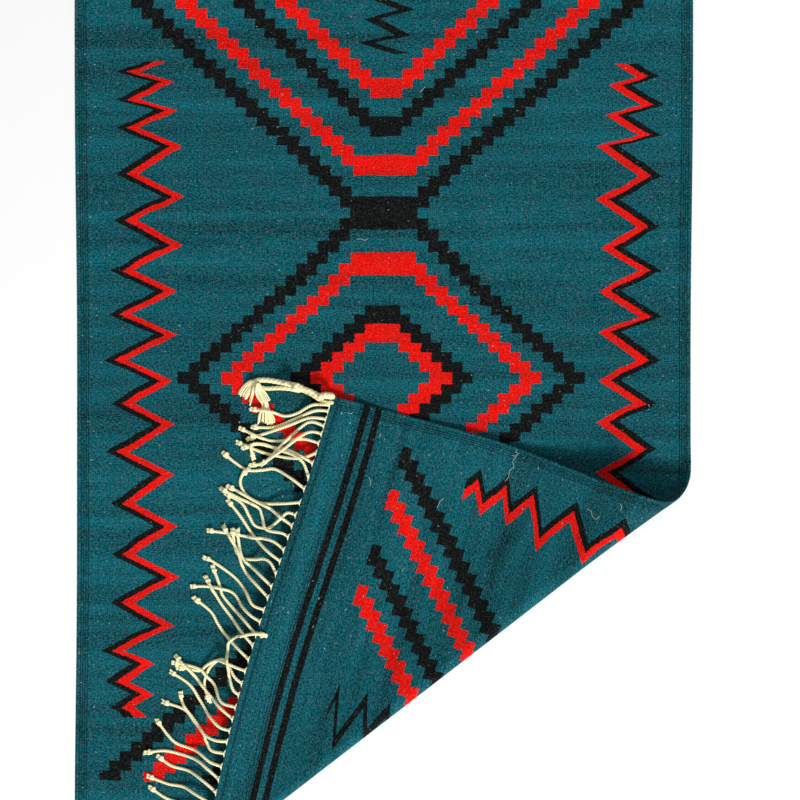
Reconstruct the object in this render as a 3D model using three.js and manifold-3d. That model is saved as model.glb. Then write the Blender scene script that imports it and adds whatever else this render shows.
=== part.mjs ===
// A hand-woven rug that lies flat with one corner folded up and over onto itself.
// Millimetres, +Z up. The origin is on the underside, at the middle of the rug.
// +Y runs along the warps to the far end, and +X points across the rug to the right.
import * as THREE from "three";
import { mergeVertices } from "three/addons/utils/BufferGeometryUtils.js";
import Module from "manifold-3d";

const wasm = await Module();
wasm.setup();

// The woven cloth, measured at its corners.
const HALF_WIDTH = 604.6;
const HALF_LENGTH = 944.2;
const THICKNESS = 3;
const WAIST = 5; // each selvedge draws in by this much halfway along
const END_BOW = 27; // each end bows out by this much at its middle
const SELVEDGE_WAVER = 1.6;
const WAVER_LENGTH = 310;

// The fold: its line runs at an angle to +X, and its nose reaches this far from the origin.
const FOLD_ANGLE = THREE.MathUtils.degToRad(37.8);
const FOLD_REACH = 529;
const ROLL_RADIUS = 20; // of the nose, at the folded corner's middle
const TAPER_START = -100; // along the fold line, from the middle
const ROLL_TAPER = 0.0138; // the nose tightens by this share of the way on to the near end
const FLARE_START = 60; // from here to the selvedge the nose opens like a trumpet
const FLARE_END = 291;
const FLARE_RADIUS = 60;
const FLARE_POWER = 1.6;
const MOST_FLARE = 1.05;
const LANDING_DIP = 0.25; // radians by which the upper layer slopes down behind the nose
const LANDING_RADIUS = 300;
const LAYER_RISE = 5.2; // from the middle of the lower layer to the middle of the upper one

// The folded end is lifted a little off the lower layer near its middle.
const END_LIFT = 13;
const END_LIFT_DEPTH = 75;
const END_LIFT_MIDDLE = 60;
const END_LIFT_SPREAD = 230;

// Low ridges that the folding left in the upper layer.
const RIDGES = [
  { across: 420, along: -615, heading: 0.1, halfLength: 110, halfWidth: 34, rise: 4.5 },
  { across: 300, along: -470, heading: 0.3, halfLength: 130, halfWidth: 38, rise: 4 },
  { across: 60, along: -745, heading: 0.05, halfLength: 90, halfWidth: 30, rise: 4 },
];

// Steps of the surface.
const ROLL_STEPS = 8;
const LANDING_STEPS = 5;
const FLAP_STEP = 46;
const MOST_FLAP_ROWS = 13;
const ROW_STEP = 52;
const EDGE_STEP = 110;
const END_STEP = 72;
const NORMAL_STEP = 0.5;
const HALVINGS = 40;

// The fringe: knotted warp cords on a narrow strip at each end.
const CLEARANCE = 0.3;
const STRIP_WIDTH = 8;
const STRIP_PARTING = 1.2; // between the two strips of the near end, which is twisted there
const STRAND_PITCH = 24;
const STRAND_MARGIN = 9; // from the selvedge to the first strand
const STRAND_LENGTH = 152;
const STRAND_WIDTH = 5;
const STRAND_HEIGHT = 4.4;
const ROOT_DEPTH = 4;
const ROOT_MARGIN = 3; // from a strip's end to the middle of a strand
const KNOT_WIDTH = 9;
const KNOT_HEIGHT = 7.5;
const TIP_WIDTH = 4;
const TOP_SHARE = 0.6; // a strand's top is this much narrower than its foot
const REST_SHARE = 0.48; // past this share of its length a strand rests level
// Where along a strand its sections stand, and which of its bodies is there.
const STRAND_STATIONS = [
  { share: 0, body: "strand" },
  { share: 0.12, body: "strand" },
  { share: 0.28, body: "strand" },
  { share: 0.48, body: "strand" },
  { share: 0.7, body: "strand" },
  { share: 0.87, body: "strand" },
  { share: 0.91, body: "knot" },
  { share: 0.95, body: "tip" },
  { share: 1, body: "tip" },
];
const SECTIONS = {
  strand: { width: STRAND_WIDTH, height: STRAND_HEIGHT },
  knot: { width: KNOT_WIDTH, height: KNOT_HEIGHT },
  tip: { width: TIP_WIDTH, height: STRAND_HEIGHT },
};
const SWAY = 3.4;
const WAVE = 1.6;
const LENGTH_SPREAD = 12;
const MOST_SPLAY = 0.12; // radians off square for a strand on the floor
const SWAY_BEAT = 1.7;
const WAVE_BEAT = 2.3;
const LENGTH_BEAT = 4.1;

// How the folded strands lean from square to their end, by distance from the folded corner.
const FOLDED_LEANS = [
  { distance: 0, lean: -0.29 },
  { distance: 220, lean: 0.0 },
  { distance: 420, lean: 0.42 },
  { distance: 620, lean: 0.5 },
  { distance: 900, lean: 0.2 },
];

// A corner tassel: the selvedge cord, its knot, and the locks beyond it.
const CORD_LENGTH = 62;
const CORD_WIDTH = 6;
const CORD_HEIGHT = 5;
const CORD_STATIONS = [0, 0.5, 1, 1.12, 1.3]; // as shares of its length; the knot is the fourth
const KNOT_STATION = 3;
const TASSEL_KNOT = 13;
const TASSEL_KNOT_HEIGHT = 9;
const LOCK_LENGTHS = [92, 112, 104, 84];
const LOCK_FAN = 0.15;
const FOLDED_LOCK_TURN = -0.14; // the folded tassel's locks turn this far from its cord
const FOLDED_CORD_TURN = 0.23;
const FOLDED_CORNER_GAP = 4;
const LOCK_WIDTH = 7;
const LOCK_TIP = 3;
const LOCK_HEIGHT = 4;
const LOCK_STATIONS = [0, 0.55, 1];
const CORNER_GAP = 1.7;
const CORNER_INSET = 3; // a floor tassel starts this far in from its corner, beside the selvedge
const CORNER_RISE = 0.5; // of a floor tassel's heading, for each unit across

const WOOL = 0x17515a;
const COTTON = 0xe8dcc0;

const cosFold = Math.cos(FOLD_ANGLE);
const sinFold = Math.sin(FOLD_ANGLE);

function smooth(share) {
  const t = THREE.MathUtils.clamp(share, 0, 1);
  return t * t * (3 - 2 * t);
}

// The outline: half the width at a distance along the rug, and half the length at one across it.
function halfWidthAt(along) {
  const waist = WAIST * Math.cos((Math.PI * along) / (2 * HALF_LENGTH)) ** 2;
  const waver = SELVEDGE_WAVER * Math.sin(along / WAVER_LENGTH) ** 3;
  return HALF_WIDTH - waist + waver;
}

function halfLengthAt(across) {
  return HALF_LENGTH + END_BOW * Math.cos((Math.PI * across) / (2 * HALF_WIDTH)) ** 2;
}

// The weave stops short of the near end by the strip that holds the fringe.
function halfWeaveAt(across) {
  return halfLengthAt(across) - STRIP_WIDTH - CLEARANCE;
}

// The nose's radius at a distance along the fold line.
function rollRadiusAt(along) {
  const taper = ROLL_TAPER * Math.min(0, along - TAPER_START);
  const opening = (along - FLARE_START) / (FLARE_END - FLARE_START);
  const flare = THREE.MathUtils.clamp(opening, 0, MOST_FLARE);
  return ROLL_RADIUS + taper + (FLARE_RADIUS - ROLL_RADIUS) * flare ** FLARE_POWER;
}

// Lengths of cloth in the nose, in the straight slope behind it, and in the landing curve.
function foldLengths(radius) {
  const noseHeight = radius * (1 + Math.cos(LANDING_DIP));
  const landingDrop = LANDING_RADIUS * (1 - Math.cos(LANDING_DIP));
  return {
    nose: radius * (Math.PI + LANDING_DIP),
    slope: (noseHeight - landingDrop - LAYER_RISE) / Math.sin(LANDING_DIP),
    landing: LANDING_RADIUS * LANDING_DIP,
    noseHeight,
  };
}

// Where a point lies in the fold's profile, by its distance past the last flat point.
function profileAt(distance, radius) {
  const { nose, slope, landing, noseHeight } = foldLengths(radius);
  if (distance <= 0) return { out: distance, rise: 0 };
  if (distance <= nose) {
    const turn = distance / radius;
    return { out: radius * Math.sin(turn), rise: radius * (1 - Math.cos(turn)) };
  }
  const onSlope = Math.min(distance - nose, slope);
  const onLanding = THREE.MathUtils.clamp(distance - nose - slope, 0, landing);
  const onFlat = Math.max(distance - nose - slope - landing, 0);
  const dip = LANDING_DIP - onLanding / LANDING_RADIUS;
  const landingRun = LANDING_RADIUS * (Math.sin(LANDING_DIP) - Math.sin(dip));
  const landingDrop = LANDING_RADIUS * (Math.cos(dip) - Math.cos(LANDING_DIP));
  return {
    out: -radius * Math.sin(LANDING_DIP) - onSlope * Math.cos(LANDING_DIP) - landingRun - onFlat,
    rise: noseHeight - onSlope * Math.sin(LANDING_DIP) - landingDrop,
  };
}

// The same point of the cloth in the rug's own axes and in the fold's.
function toFold(across, along) {
  return {
    line: across * cosFold + along * sinFold,
    reach: across * sinFold - along * cosFold,
  };
}

function fromFold(line, reach) {
  return {
    across: line * cosFold + reach * sinFold,
    along: line * sinFold - reach * cosFold,
  };
}

// How much a point of the upper layer is raised by the lifted end and the ridges.
function liftAt(across, along) {
  const fromEnd = along + halfLengthAt(across);
  const depth = Math.exp(-((fromEnd / END_LIFT_DEPTH) ** 2));
  const spread = Math.exp(-(((across - END_LIFT_MIDDLE) / END_LIFT_SPREAD) ** 2));
  let lift = END_LIFT * depth * spread;
  for (const ridge of RIDGES) {
    const dx = across - ridge.across;
    const dy = along - ridge.along;
    const lengthways = dx * Math.cos(ridge.heading) + dy * Math.sin(ridge.heading);
    const sideways = dy * Math.cos(ridge.heading) - dx * Math.sin(ridge.heading);
    const fade = (lengthways / ridge.halfLength) ** 2 + (sideways / ridge.halfWidth) ** 2;
    lift += ridge.rise * Math.exp(-fade);
  }
  return lift;
}

// The middle of the cloth's thickness, for a point of the flat cloth.
function middleAt(across, along) {
  const { line, reach } = toFold(across, along);
  const radius = rollRadiusAt(line);
  const tangent = FOLD_REACH - radius;
  const distance = reach - tangent;
  if (distance <= 0) return new THREE.Vector3(across, along, THICKNESS / 2);
  const { out, rise } = profileAt(distance, radius);
  const place = fromFold(line, tangent + out);
  const { nose, slope } = foldLengths(radius);
  const landed = smooth((distance - nose) / (slope + 1));
  const height = THICKNESS / 2 + rise + liftAt(across, along) * landed;
  return new THREE.Vector3(place.across, place.along, height);
}

function normalAt(across, along) {
  const h = NORMAL_STEP;
  const sideways = middleAt(across + h, along).sub(middleAt(across - h, along));
  const lengthways = middleAt(across, along + h).sub(middleAt(across, along - h));
  return sideways.cross(lengthways).normalize();
}

// A closed sheet over a flat pattern of points and triangles, bent as the cloth is.
function bentSheet(points, triangles) {
  const count = points.length;
  const positions = new Float32Array(count * 6);
  points.forEach(({ across, along }, i) => {
    const middle = middleAt(across, along);
    const offset = normalAt(across, along).multiplyScalar(THICKNESS / 2);
    middle.clone().add(offset).toArray(positions, i * 3);
    middle.clone().sub(offset).toArray(positions, (count + i) * 3);
  });
  const edges = new Map();
  const faces = [];
  for (const [a, b, c] of triangles) {
    faces.push(a, b, c, count + c, count + b, count + a);
    for (const [from, to] of [[a, b], [b, c], [c, a]]) {
      const twin = `${to} ${from}`;
      if (edges.has(twin)) edges.delete(twin);
      else edges.set(`${from} ${to}`, [from, to]);
    }
  }
  for (const [from, to] of edges.values()) {
    faces.push(to, from, count + from, to, count + from, count + to);
  }
  const geometry = new THREE.BufferGeometry();
  geometry.setAttribute("position", new THREE.BufferAttribute(positions, 3));
  geometry.setIndex(faces);
  return geometry;
}

// The place where a line of cloth leaves the woven part, halved down from inside and outside.
function edgeOf(pointAt, isInside, inside, outside) {
  let near = inside;
  let far = outside;
  for (let i = 0; i < HALVINGS; i += 1) {
    const middle = (near + far) / 2;
    if (isInside(pointAt(middle))) near = middle;
    else far = middle;
  }
  return near;
}

// Triangles between two rows of points, each given as indices from left to right.
function stitch(lower, upper, triangles) {
  let i = 0;
  let j = 0;
  while (i < lower.length - 1 || j < upper.length - 1) {
    const lowerShare = (i + 1) / (lower.length - 1 || 1);
    const upperShare = (j + 1) / (upper.length - 1 || 1);
    const stepLower = j === upper.length - 1 || (i < lower.length - 1 && lowerShare <= upperShare);
    if (stepLower) {
      triangles.push([lower[i], lower[i + 1], upper[j]]);
      i += 1;
    } else {
      triangles.push([upper[j + 1], upper[j], lower[i]]);
      j += 1;
    }
  }
}

// Distances past the last flat point at which rows of points cross the folded cloth.
function rowDistances() {
  const rows = [];
  for (let i = 0; i <= ROLL_STEPS; i += 1) {
    rows.push((line) => (foldLengths(rollRadiusAt(line)).nose * i) / ROLL_STEPS);
  }
  for (let i = 1; i <= LANDING_STEPS; i += 1) {
    rows.push((line) => {
      const { nose, slope, landing } = foldLengths(rollRadiusAt(line));
      return nose + ((slope + landing) * i) / LANDING_STEPS;
    });
  }
  const landed = rows[rows.length - 1];
  for (let i = 1; i <= MOST_FLAP_ROWS; i += 1) {
    rows.push((line) => landed(line) + i * FLAP_STEP);
  }
  return rows;
}

// Values from one number to another in steps of about the size given, both ends included.
function stepsBetween(from, to, step) {
  const count = Math.max(1, Math.round(Math.abs(to - from) / step));
  return Array.from({ length: count + 1 }, (_, i) => THREE.MathUtils.lerp(from, to, i / count));
}

// The rows that cross the folded corner, each from the near end to the right selvedge.
function rowsOfFold() {
  const { along } = woveCorner;
  const cornerLine = toFold(halfWidthAt(along), along).line;
  const pastNearEnd = (point) => point.along > -halfWeaveAt(point.across);
  const insideSelvedge = (point) => point.across < halfWidthAt(point.along);
  const rows = [];
  for (const distanceAt of rowDistances()) {
    const pointAt = (line) => {
      return fromFold(line, FOLD_REACH - rollRadiusAt(line) + distanceAt(line));
    };
    const middle = pointAt(cornerLine);
    if (!pastNearEnd(middle) || !insideSelvedge(middle)) break;
    const left = edgeOf(pointAt, pastNearEnd, cornerLine, cornerLine - 2 * HALF_LENGTH);
    const right = edgeOf(pointAt, insideSelvedge, cornerLine, cornerLine + HALF_LENGTH);
    rows.push(stepsBetween(left, right, ROW_STEP).map(pointAt));
  }
  return rows;
}

const woveCorner = { across: halfWidthAt(-halfWeaveAt(HALF_WIDTH)), along: -halfWeaveAt(HALF_WIDTH) };
const foldRows = rowsOfFold();

// Distances across the rug at which the edge of each end has a point, from left to right.
const farStations = stepsBetween(-HALF_WIDTH, HALF_WIDTH, END_STEP);
const nearFlatStations = stepsBetween(-HALF_WIDTH, foldRows[0][0].across, END_STEP);
const nearFoldedStations = [...foldRows.map((row) => row[0].across), HALF_WIDTH];

// The woven cloth: rows across the folded corner up to its point, then the part on the floor.
function rugGeometry() {
  const points = [];
  const triangles = [];
  const addPoint = (point) => points.push(point) - 1;
  const rows = foldRows.map((row) => row.map(addPoint));
  for (let i = 1; i < rows.length; i += 1) stitch(rows[i], rows[i - 1], triangles);
  stitch([addPoint(woveCorner)], rows[rows.length - 1], triangles);

  const outline = [...rows[0]];
  const addToOutline = (across, along) => outline.push(addPoint({ across, along }));
  const far = halfWeaveAt(HALF_WIDTH);
  const foldRight = points[rows[0][rows[0].length - 1]];
  for (const along of stepsBetween(foldRight.along, far, EDGE_STEP).slice(1)) {
    addToOutline(halfWidthAt(along), along);
  }
  for (const across of farStations.slice(1, -1).reverse()) {
    addToOutline(across, halfWeaveAt(across));
  }
  for (const along of stepsBetween(far, -far, EDGE_STEP)) {
    addToOutline(-halfWidthAt(along), along);
  }
  for (const across of nearFlatStations.slice(1, -1)) {
    addToOutline(across, -halfWeaveAt(across));
  }
  const contour = outline.map((i) => new THREE.Vector2(points[i].across, points[i].along));
  for (const corners of THREE.ShapeUtils.triangulateShape(contour, [])) {
    triangles.push(corners.map((i) => outline[i]));
  }
  return bentSheet(points, triangles);
}

// The twined strip at one end, over a list of distances across. side is 1 far, -1 near.
function stripGeometry(side, stations) {
  const points = [];
  const triangles = [];
  stations.forEach((across, i) => {
    const outer = side * halfLengthAt(across);
    const inner = outer - side * STRIP_WIDTH;
    points.push({ across, along: Math.min(outer, inner) });
    points.push({ across, along: Math.max(outer, inner) });
    if (i === 0) return;
    const k = 2 * i;
    triangles.push([k - 2, k, k - 1], [k - 1, k, k + 1]);
  });
  return bentSheet(points, triangles);
}

// A strand with a four-sided section, along a list of middles with a size at each.
function strandGeometry(stations) {
  const positions = [];
  const faces = [];
  stations.forEach(({ place, heading, width, height }, i) => {
    const side = new THREE.Vector3(-Math.sin(heading), Math.cos(heading), 0);
    for (const [across, rise] of [[1, 0], [-1, 0], [-TOP_SHARE, 1], [TOP_SHARE, 1]]) {
      const corner = place.clone().addScaledVector(side, (across * width) / 2);
      corner.z += rise * height;
      positions.push(corner.x, corner.y, corner.z);
    }
    if (i === 0) return;
    for (let k = 0; k < 4; k += 1) {
      const near = 4 * i - 4 + k;
      const next = 4 * i - 4 + ((k + 1) % 4);
      faces.push(near, near + 4, next, next, near + 4, next + 4);
    }
  });
  const last = 4 * (stations.length - 1);
  faces.push(0, 1, 2, 0, 2, 3, last, last + 2, last + 1, last, last + 3, last + 2);
  const geometry = new THREE.BufferGeometry();
  geometry.setAttribute("position", new THREE.Float32BufferAttribute(positions, 3));
  geometry.setIndex(faces);
  return geometry;
}

// One fringe strand from its root on the strip to its knot and tip, resting level past its root.
function fringeStrand(index, side, across, support) {
  const outer = side * halfLengthAt(across);
  const root = middleAt(across, outer - side * ROOT_DEPTH);
  const ahead = middleAt(across, outer).sub(root).setZ(0);
  const square = THREE.MathUtils.euclideanModulo(Math.atan2(ahead.y, ahead.x), 2 * Math.PI);
  const straight = side > 0 ? Math.PI / 2 : (3 * Math.PI) / 2;
  const onFold = support > 0;
  const heading = onFold
    ? Math.min(square, Math.PI) - leanAt(HALF_WIDTH - across)
    : THREE.MathUtils.clamp(square, straight - MOST_SPLAY, straight + MOST_SPLAY);
  const length = STRAND_LENGTH + LENGTH_SPREAD * Math.sin(LENGTH_BEAT * index);
  const rootBottom = Math.max(0, root.z - STRAND_HEIGHT / 2);
  const stations = STRAND_STATIONS.map(({ share, body }) => {
    const sway = SWAY * Math.sin(SWAY_BEAT * index) * share ** 2;
    const wave = WAVE * Math.sin(WAVE_BEAT * index) * Math.sin(2 * Math.PI * share);
    const offset = sway + wave;
    const run = length * share;
    const place = new THREE.Vector3(
      root.x + run * Math.cos(heading) - offset * Math.sin(heading),
      root.y + run * Math.sin(heading) + offset * Math.cos(heading),
      0,
    );
    place.z = THREE.MathUtils.lerp(rootBottom, support, smooth(share / REST_SHARE));
    return { place, heading, ...SECTIONS[body] };
  });
  return strandGeometry(stations);
}

function leanAt(distance) {
  const past = FOLDED_LEANS.findIndex((row) => row.distance >= distance);
  if (past <= 0) return FOLDED_LEANS[past < 0 ? FOLDED_LEANS.length - 1 : 0].lean;
  const before = FOLDED_LEANS[past - 1];
  const after = FOLDED_LEANS[past];
  const share = (distance - before.distance) / (after.distance - before.distance);
  return THREE.MathUtils.lerp(before.lean, after.lean, smooth(share));
}

// A tassel at a corner: cord, knot and fanned locks, along a heading on a support.
function tasselSolid(corner, heading, lockTurn, support, rootBottom) {
  const stationAt = (from, direction, run, share, width, height) => ({
    place: new THREE.Vector3(
      from.x + run * Math.cos(direction),
      from.y + run * Math.sin(direction),
      THREE.MathUtils.lerp(rootBottom, support, smooth(share)),
    ),
    heading: direction,
    width,
    height,
  });
  const start = corner.clone().setZ(0);
  const cord = CORD_STATIONS.map((share, i) => {
    const isKnot = i === KNOT_STATION;
    const width = isKnot ? TASSEL_KNOT : CORD_WIDTH;
    const height = isKnot ? TASSEL_KNOT_HEIGHT : CORD_HEIGHT;
    return stationAt(start, heading, CORD_LENGTH * share, share, width, height);
  });
  let solid = solidOf(strandGeometry(cord));
  const knot = cord[KNOT_STATION].place;
  LOCK_LENGTHS.forEach((length, i) => {
    const direction = heading + lockTurn + LOCK_FAN * (i - (LOCK_LENGTHS.length - 1) / 2);
    const lock = LOCK_STATIONS.map((share) => {
      const width = THREE.MathUtils.lerp(LOCK_WIDTH, LOCK_TIP, share);
      return stationAt(knot, direction, length * share, 1, width, LOCK_HEIGHT);
    });
    solid = solid.add(solidOf(strandGeometry(lock)));
  });
  return solid;
}

function solidOf(geometry) {
  const merged = mergeVertices(geometry, 1e-4);
  return new wasm.Manifold(
    new wasm.Mesh({
      numProp: 3,
      vertProperties: merged.getAttribute("position").array,
      triVerts: new Uint32Array(merged.index.array),
    }),
  );
}

function geometryOf(solid) {
  const mesh = solid.getMesh();
  const geometry = new THREE.BufferGeometry();
  geometry.setAttribute("position", new THREE.BufferAttribute(mesh.vertProperties, 3));
  geometry.setIndex(new THREE.BufferAttribute(mesh.triVerts, 1));
  return geometry;
}

// A strip and the strands on it, as one solid.
function fringeGeometry(side, stations, support) {
  const from = stations[0] + ROOT_MARGIN;
  const to = stations[stations.length - 1] - ROOT_MARGIN;
  let solid = solidOf(stripGeometry(side, stations));
  const gaps = Math.floor((2 * (HALF_WIDTH - STRAND_MARGIN)) / STRAND_PITCH);
  for (let i = 0; i <= gaps; i += 1) {
    const across = (gaps / 2 - i) * STRAND_PITCH;
    if (across < from || across > to) continue;
    solid = solid.add(solidOf(fringeStrand(i, side, across, support)));
  }
  return geometryOf(solid);
}

const wool = new THREE.MeshStandardMaterial({ color: WOOL, roughness: 0.95, metalness: 0 });
const cotton = new THREE.MeshStandardMaterial({ color: COTTON, roughness: 0.9, metalness: 0 });

function addMesh(group, name, geometry, material) {
  const mesh = new THREE.Mesh(geometry, material);
  mesh.name = name;
  group.add(mesh);
}

const rug = new THREE.Group();
addMesh(rug, "rug", rugGeometry(), wool);
addMesh(rug, "fringe_far", fringeGeometry(1, farStations, 0), cotton);

// The near end's strip is parted where the nose stands upright: left of it is on the floor.
const uprightRow = Math.round((ROLL_STEPS * Math.PI) / 2 / (Math.PI + LANDING_DIP));
const lowerStations = [...nearFlatStations, ...nearFoldedStations.slice(1, uprightRow + 1)];
const upperStations = nearFoldedStations.slice(uprightRow);
upperStations[0] += STRIP_PARTING;
addMesh(rug, "fringe_near_flat", fringeGeometry(-1, lowerStations, 0), cotton);
addMesh(
  rug,
  "fringe_near_folded",
  fringeGeometry(-1, upperStations, THICKNESS + CLEARANCE),
  cotton,
);

// The tassels at the three corners on the floor point out along the corner's diagonal.
const FLOOR_CORNERS = [
  { name: "tassel_far_right", side: 1, end: 1 },
  { name: "tassel_far_left", side: -1, end: 1 },
  { name: "tassel_near_left", side: -1, end: -1 },
];
for (const { name, side, end } of FLOOR_CORNERS) {
  const heading = Math.atan2(end * CORNER_RISE, side);
  const x = side * (HALF_WIDTH + CORNER_GAP);
  const corner = new THREE.Vector3(x, end * (HALF_LENGTH - CORNER_INSET), 0);
  addMesh(rug, name, geometryOf(tasselSolid(corner, heading, 0, 0, 0)), cotton);
}

// The folded corner's tassel lies on the rug.
const foldedCorner = middleAt(HALF_WIDTH, -HALF_LENGTH);
const cornerHeading = Math.PI - FOLDED_CORD_TURN;
const cordWay = new THREE.Vector3(Math.cos(cornerHeading), Math.sin(cornerHeading), 0);
const foldedTassel = tasselSolid(
  foldedCorner.clone().addScaledVector(cordWay, FOLDED_CORNER_GAP),
  cornerHeading,
  FOLDED_LOCK_TURN,
  THICKNESS + CLEARANCE,
  foldedCorner.z - CORD_HEIGHT / 2,
);
addMesh(rug, "tassel_near_right", geometryOf(foldedTassel), cotton);

export default rug;
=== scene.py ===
# %% [markdown]
# # A hand-woven rug with one corner folded over
#
# A flat-woven wool rug lies on a pale floor. One corner is folded up and over onto the rug,
# so its back shows, and with it the knotted fringe of that end. The weave is the same on both
# faces, so one pattern, worked out from each point's place in the flat cloth, serves both.

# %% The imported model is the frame
import math

import bmesh
import bpy
import numpy as np
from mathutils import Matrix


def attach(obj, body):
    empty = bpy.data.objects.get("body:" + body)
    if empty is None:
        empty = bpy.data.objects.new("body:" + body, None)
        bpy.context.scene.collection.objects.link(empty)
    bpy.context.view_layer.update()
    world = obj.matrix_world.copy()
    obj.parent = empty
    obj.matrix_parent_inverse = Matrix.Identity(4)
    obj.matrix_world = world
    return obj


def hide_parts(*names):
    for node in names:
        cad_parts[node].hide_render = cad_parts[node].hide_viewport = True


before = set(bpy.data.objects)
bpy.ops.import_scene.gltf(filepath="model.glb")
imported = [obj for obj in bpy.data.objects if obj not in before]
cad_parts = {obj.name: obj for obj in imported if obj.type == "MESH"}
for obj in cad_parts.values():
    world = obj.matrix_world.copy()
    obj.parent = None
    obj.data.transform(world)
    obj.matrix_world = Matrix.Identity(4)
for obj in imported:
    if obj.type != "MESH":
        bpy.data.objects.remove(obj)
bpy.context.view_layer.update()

# %% [markdown]
# ## Sizes
#
# The rug is measured on the loom: `across` is the distance from the middle line, along the
# wefts, and `along` is the distance from the middle, along the warps. All sizes are metres.

# %% Sizes of the cloth and of its fold
HALF_WIDTH = 0.6046
HALF_LENGTH = 0.9442
THICKNESS = 0.003
WAIST = 0.005
END_BOW = 0.0235
SELVEDGE_WAVER = 0.0016
WAVER_LENGTH = 0.310
DRAWN_IN = 0.013
DRAWN_IN_FROM, DRAWN_IN_FULL = -0.60, -0.36
DRAWN_OUT_FROM, DRAWN_OUT_END = -0.30, -0.19

FOLD_ANGLE = math.radians(37.8)
FOLD_REACH = 0.529
ROLL_RADIUS = 0.020
TAPER_START = -0.100
ROLL_TAPER = 0.0138
FLARE_START = 0.060
FLARE_END = 0.291
FLARE_RADIUS = 0.060
FLARE_POWER = 1.6
MOST_FLARE = 1.05
LANDING_DIP = 0.25
LANDING_RADIUS = 0.300
LAYER_RISE = 0.0052

END_LIFT = 0.013
END_LIFT_DEPTH = 0.075
END_LIFT_MIDDLE = 0.060
END_LIFT_SPREAD = 0.230
EDGE_LIFT = 0.014
EDGE_LIFT_DEPTH = 0.065
SIDE_LIFT = 0.013
SIDE_LIFT_DEPTH = 0.080
SIDE_LIFT_START = -0.82
SIDE_LIFT_RUN = 0.26

# Low ridges that the folding left, placed on the flat cloth: the middle (across,
# along), the heading, the half length, the half width and the rise.
RIDGES = [
    (0.420, -0.615, 0.10, 0.110, 0.034, 0.0045),
    (0.300, -0.470, 0.30, 0.130, 0.038, 0.0040),
    (0.060, -0.745, 0.05, 0.090, 0.030, 0.0040),
    (0.387, -0.533, 0.27, 0.105, 0.011, 0.0048),
    (0.385, -0.556, 0.42, 0.050, 0.008, 0.0024),
    (0.345, -0.500, 0.31, 0.080, 0.011, 0.0022),
    (0.480, -0.560, 0.20, 0.060, 0.012, 0.0014),
    (0.250, -0.600, 0.35, 0.070, 0.014, 0.0026),
    (0.020, -0.715, 0.40, 0.060, 0.015, 0.0025),
    (0.130, -0.790, 0.10, 0.070, 0.016, 0.0018),
]
COS_FOLD, SIN_FOLD = math.cos(FOLD_ANGLE), math.sin(FOLD_ANGLE)


# %% [markdown]
# ## The camera and the light
#
# The rug is seen from straight above, as on a photographer's floor, so the camera looks down
# from high up with a long lens, which keeps the perspective slight. The light is soft and
# comes from the lower right, so the folded layer shades the rug above it and to its left.

# %% Camera, lights and floor
VIEW_WIDTH = 1.568
CAMERA_HEIGHT = 3.2
CAMERA_PLACE = (0.0314, -0.0431, CAMERA_HEIGHT)
SENSOR_WIDTH_MM = 36.0

camera_data = bpy.data.cameras.new("camera")
camera_data.sensor_width = SENSOR_WIDTH_MM
camera_data.lens = SENSOR_WIDTH_MM * CAMERA_HEIGHT / VIEW_WIDTH
camera_data.clip_end = 50.0
camera = bpy.data.objects.new("camera", camera_data)
camera.location = CAMERA_PLACE
bpy.context.scene.collection.objects.link(camera)
bpy.context.scene.camera = camera
bpy.context.scene.view_settings.view_transform = "Standard"


def add_area_light(name, place, target, size, power):
    """A square soft light of the given size at place, turned to shine at target."""
    data = bpy.data.lights.new(name, "AREA")
    data.size = size
    data.energy = power
    light = bpy.data.objects.new(name, data)
    light.location = place
    way = np.array(target) - np.array(place)
    light.rotation_euler = (
        math.pi - math.atan2(math.hypot(way[0], way[1]), way[2]),
        0.0,
        math.atan2(way[1], way[0]) - math.pi / 2,
    )
    bpy.context.scene.collection.objects.link(light)


KEY_PLACE, KEY_TARGET = (5.2, -9.4, 9.0), (0.0, -0.1, 0.0)
KEY_SIZE, KEY_POWER = 3.0, 1960.0
SKY_STRENGTH = 0.415
add_area_light("key", KEY_PLACE, KEY_TARGET, KEY_SIZE, KEY_POWER)
world = bpy.data.worlds.new("sky")
world.use_nodes = True
world.node_tree.nodes["Background"].inputs["Color"].default_value = (1.0, 1.0, 1.0, 1.0)
world.node_tree.nodes["Background"].inputs["Strength"].default_value = SKY_STRENGTH
bpy.context.scene.world = world


def add_floor(half_side):
    """A flat square of pale floor, level with the rug's underside."""
    corners = [(-1, -1), (1, -1), (1, 1), (-1, 1)]
    places = [(x * half_side, y * half_side, 0.0) for x, y in corners]
    mesh = bpy.data.meshes.new("floor")
    mesh.from_pydata(places, [], [(0, 1, 2, 3)])
    floor = bpy.data.objects.new("floor", mesh)
    bpy.context.scene.collection.objects.link(floor)
    material = bpy.data.materials.new("pale_floor")
    material.use_nodes = True
    shader = material.node_tree.nodes["Principled BSDF"]
    shader.inputs["Base Color"].default_value = (0.99, 0.99, 0.99, 1.0)
    shader.inputs["Roughness"].default_value = 0.9
    mesh.materials.append(material)


add_floor(half_side=12.0)


# %% [markdown]
# ## How the cloth lies
#
# The whole rug follows one formula. Most of it is flat. Past a line that runs across the near
# right corner it goes round a nose, slopes down behind it and lands on the layer below. The
# nose is tight for most of its length and opens like a trumpet at the selvedge, because a
# stiff rug springs up at its edge.

# %% The outline of the flat cloth
def smooth(share):
    """0 below 0, 1 above 1, and 3t^2 - 2t^3 between."""
    t = np.clip(share, 0.0, 1.0)
    return t * t * (3.0 - 2.0 * t)


def bell(distance, size):
    """exp(-(distance / size)^2): 1 at the middle, and fading away over the size."""
    return np.exp(-((distance / size) ** 2))


def unit(vectors):
    """The same directions with length 1."""
    return vectors / np.linalg.norm(vectors, axis=-1, keepdims=True)


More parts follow.
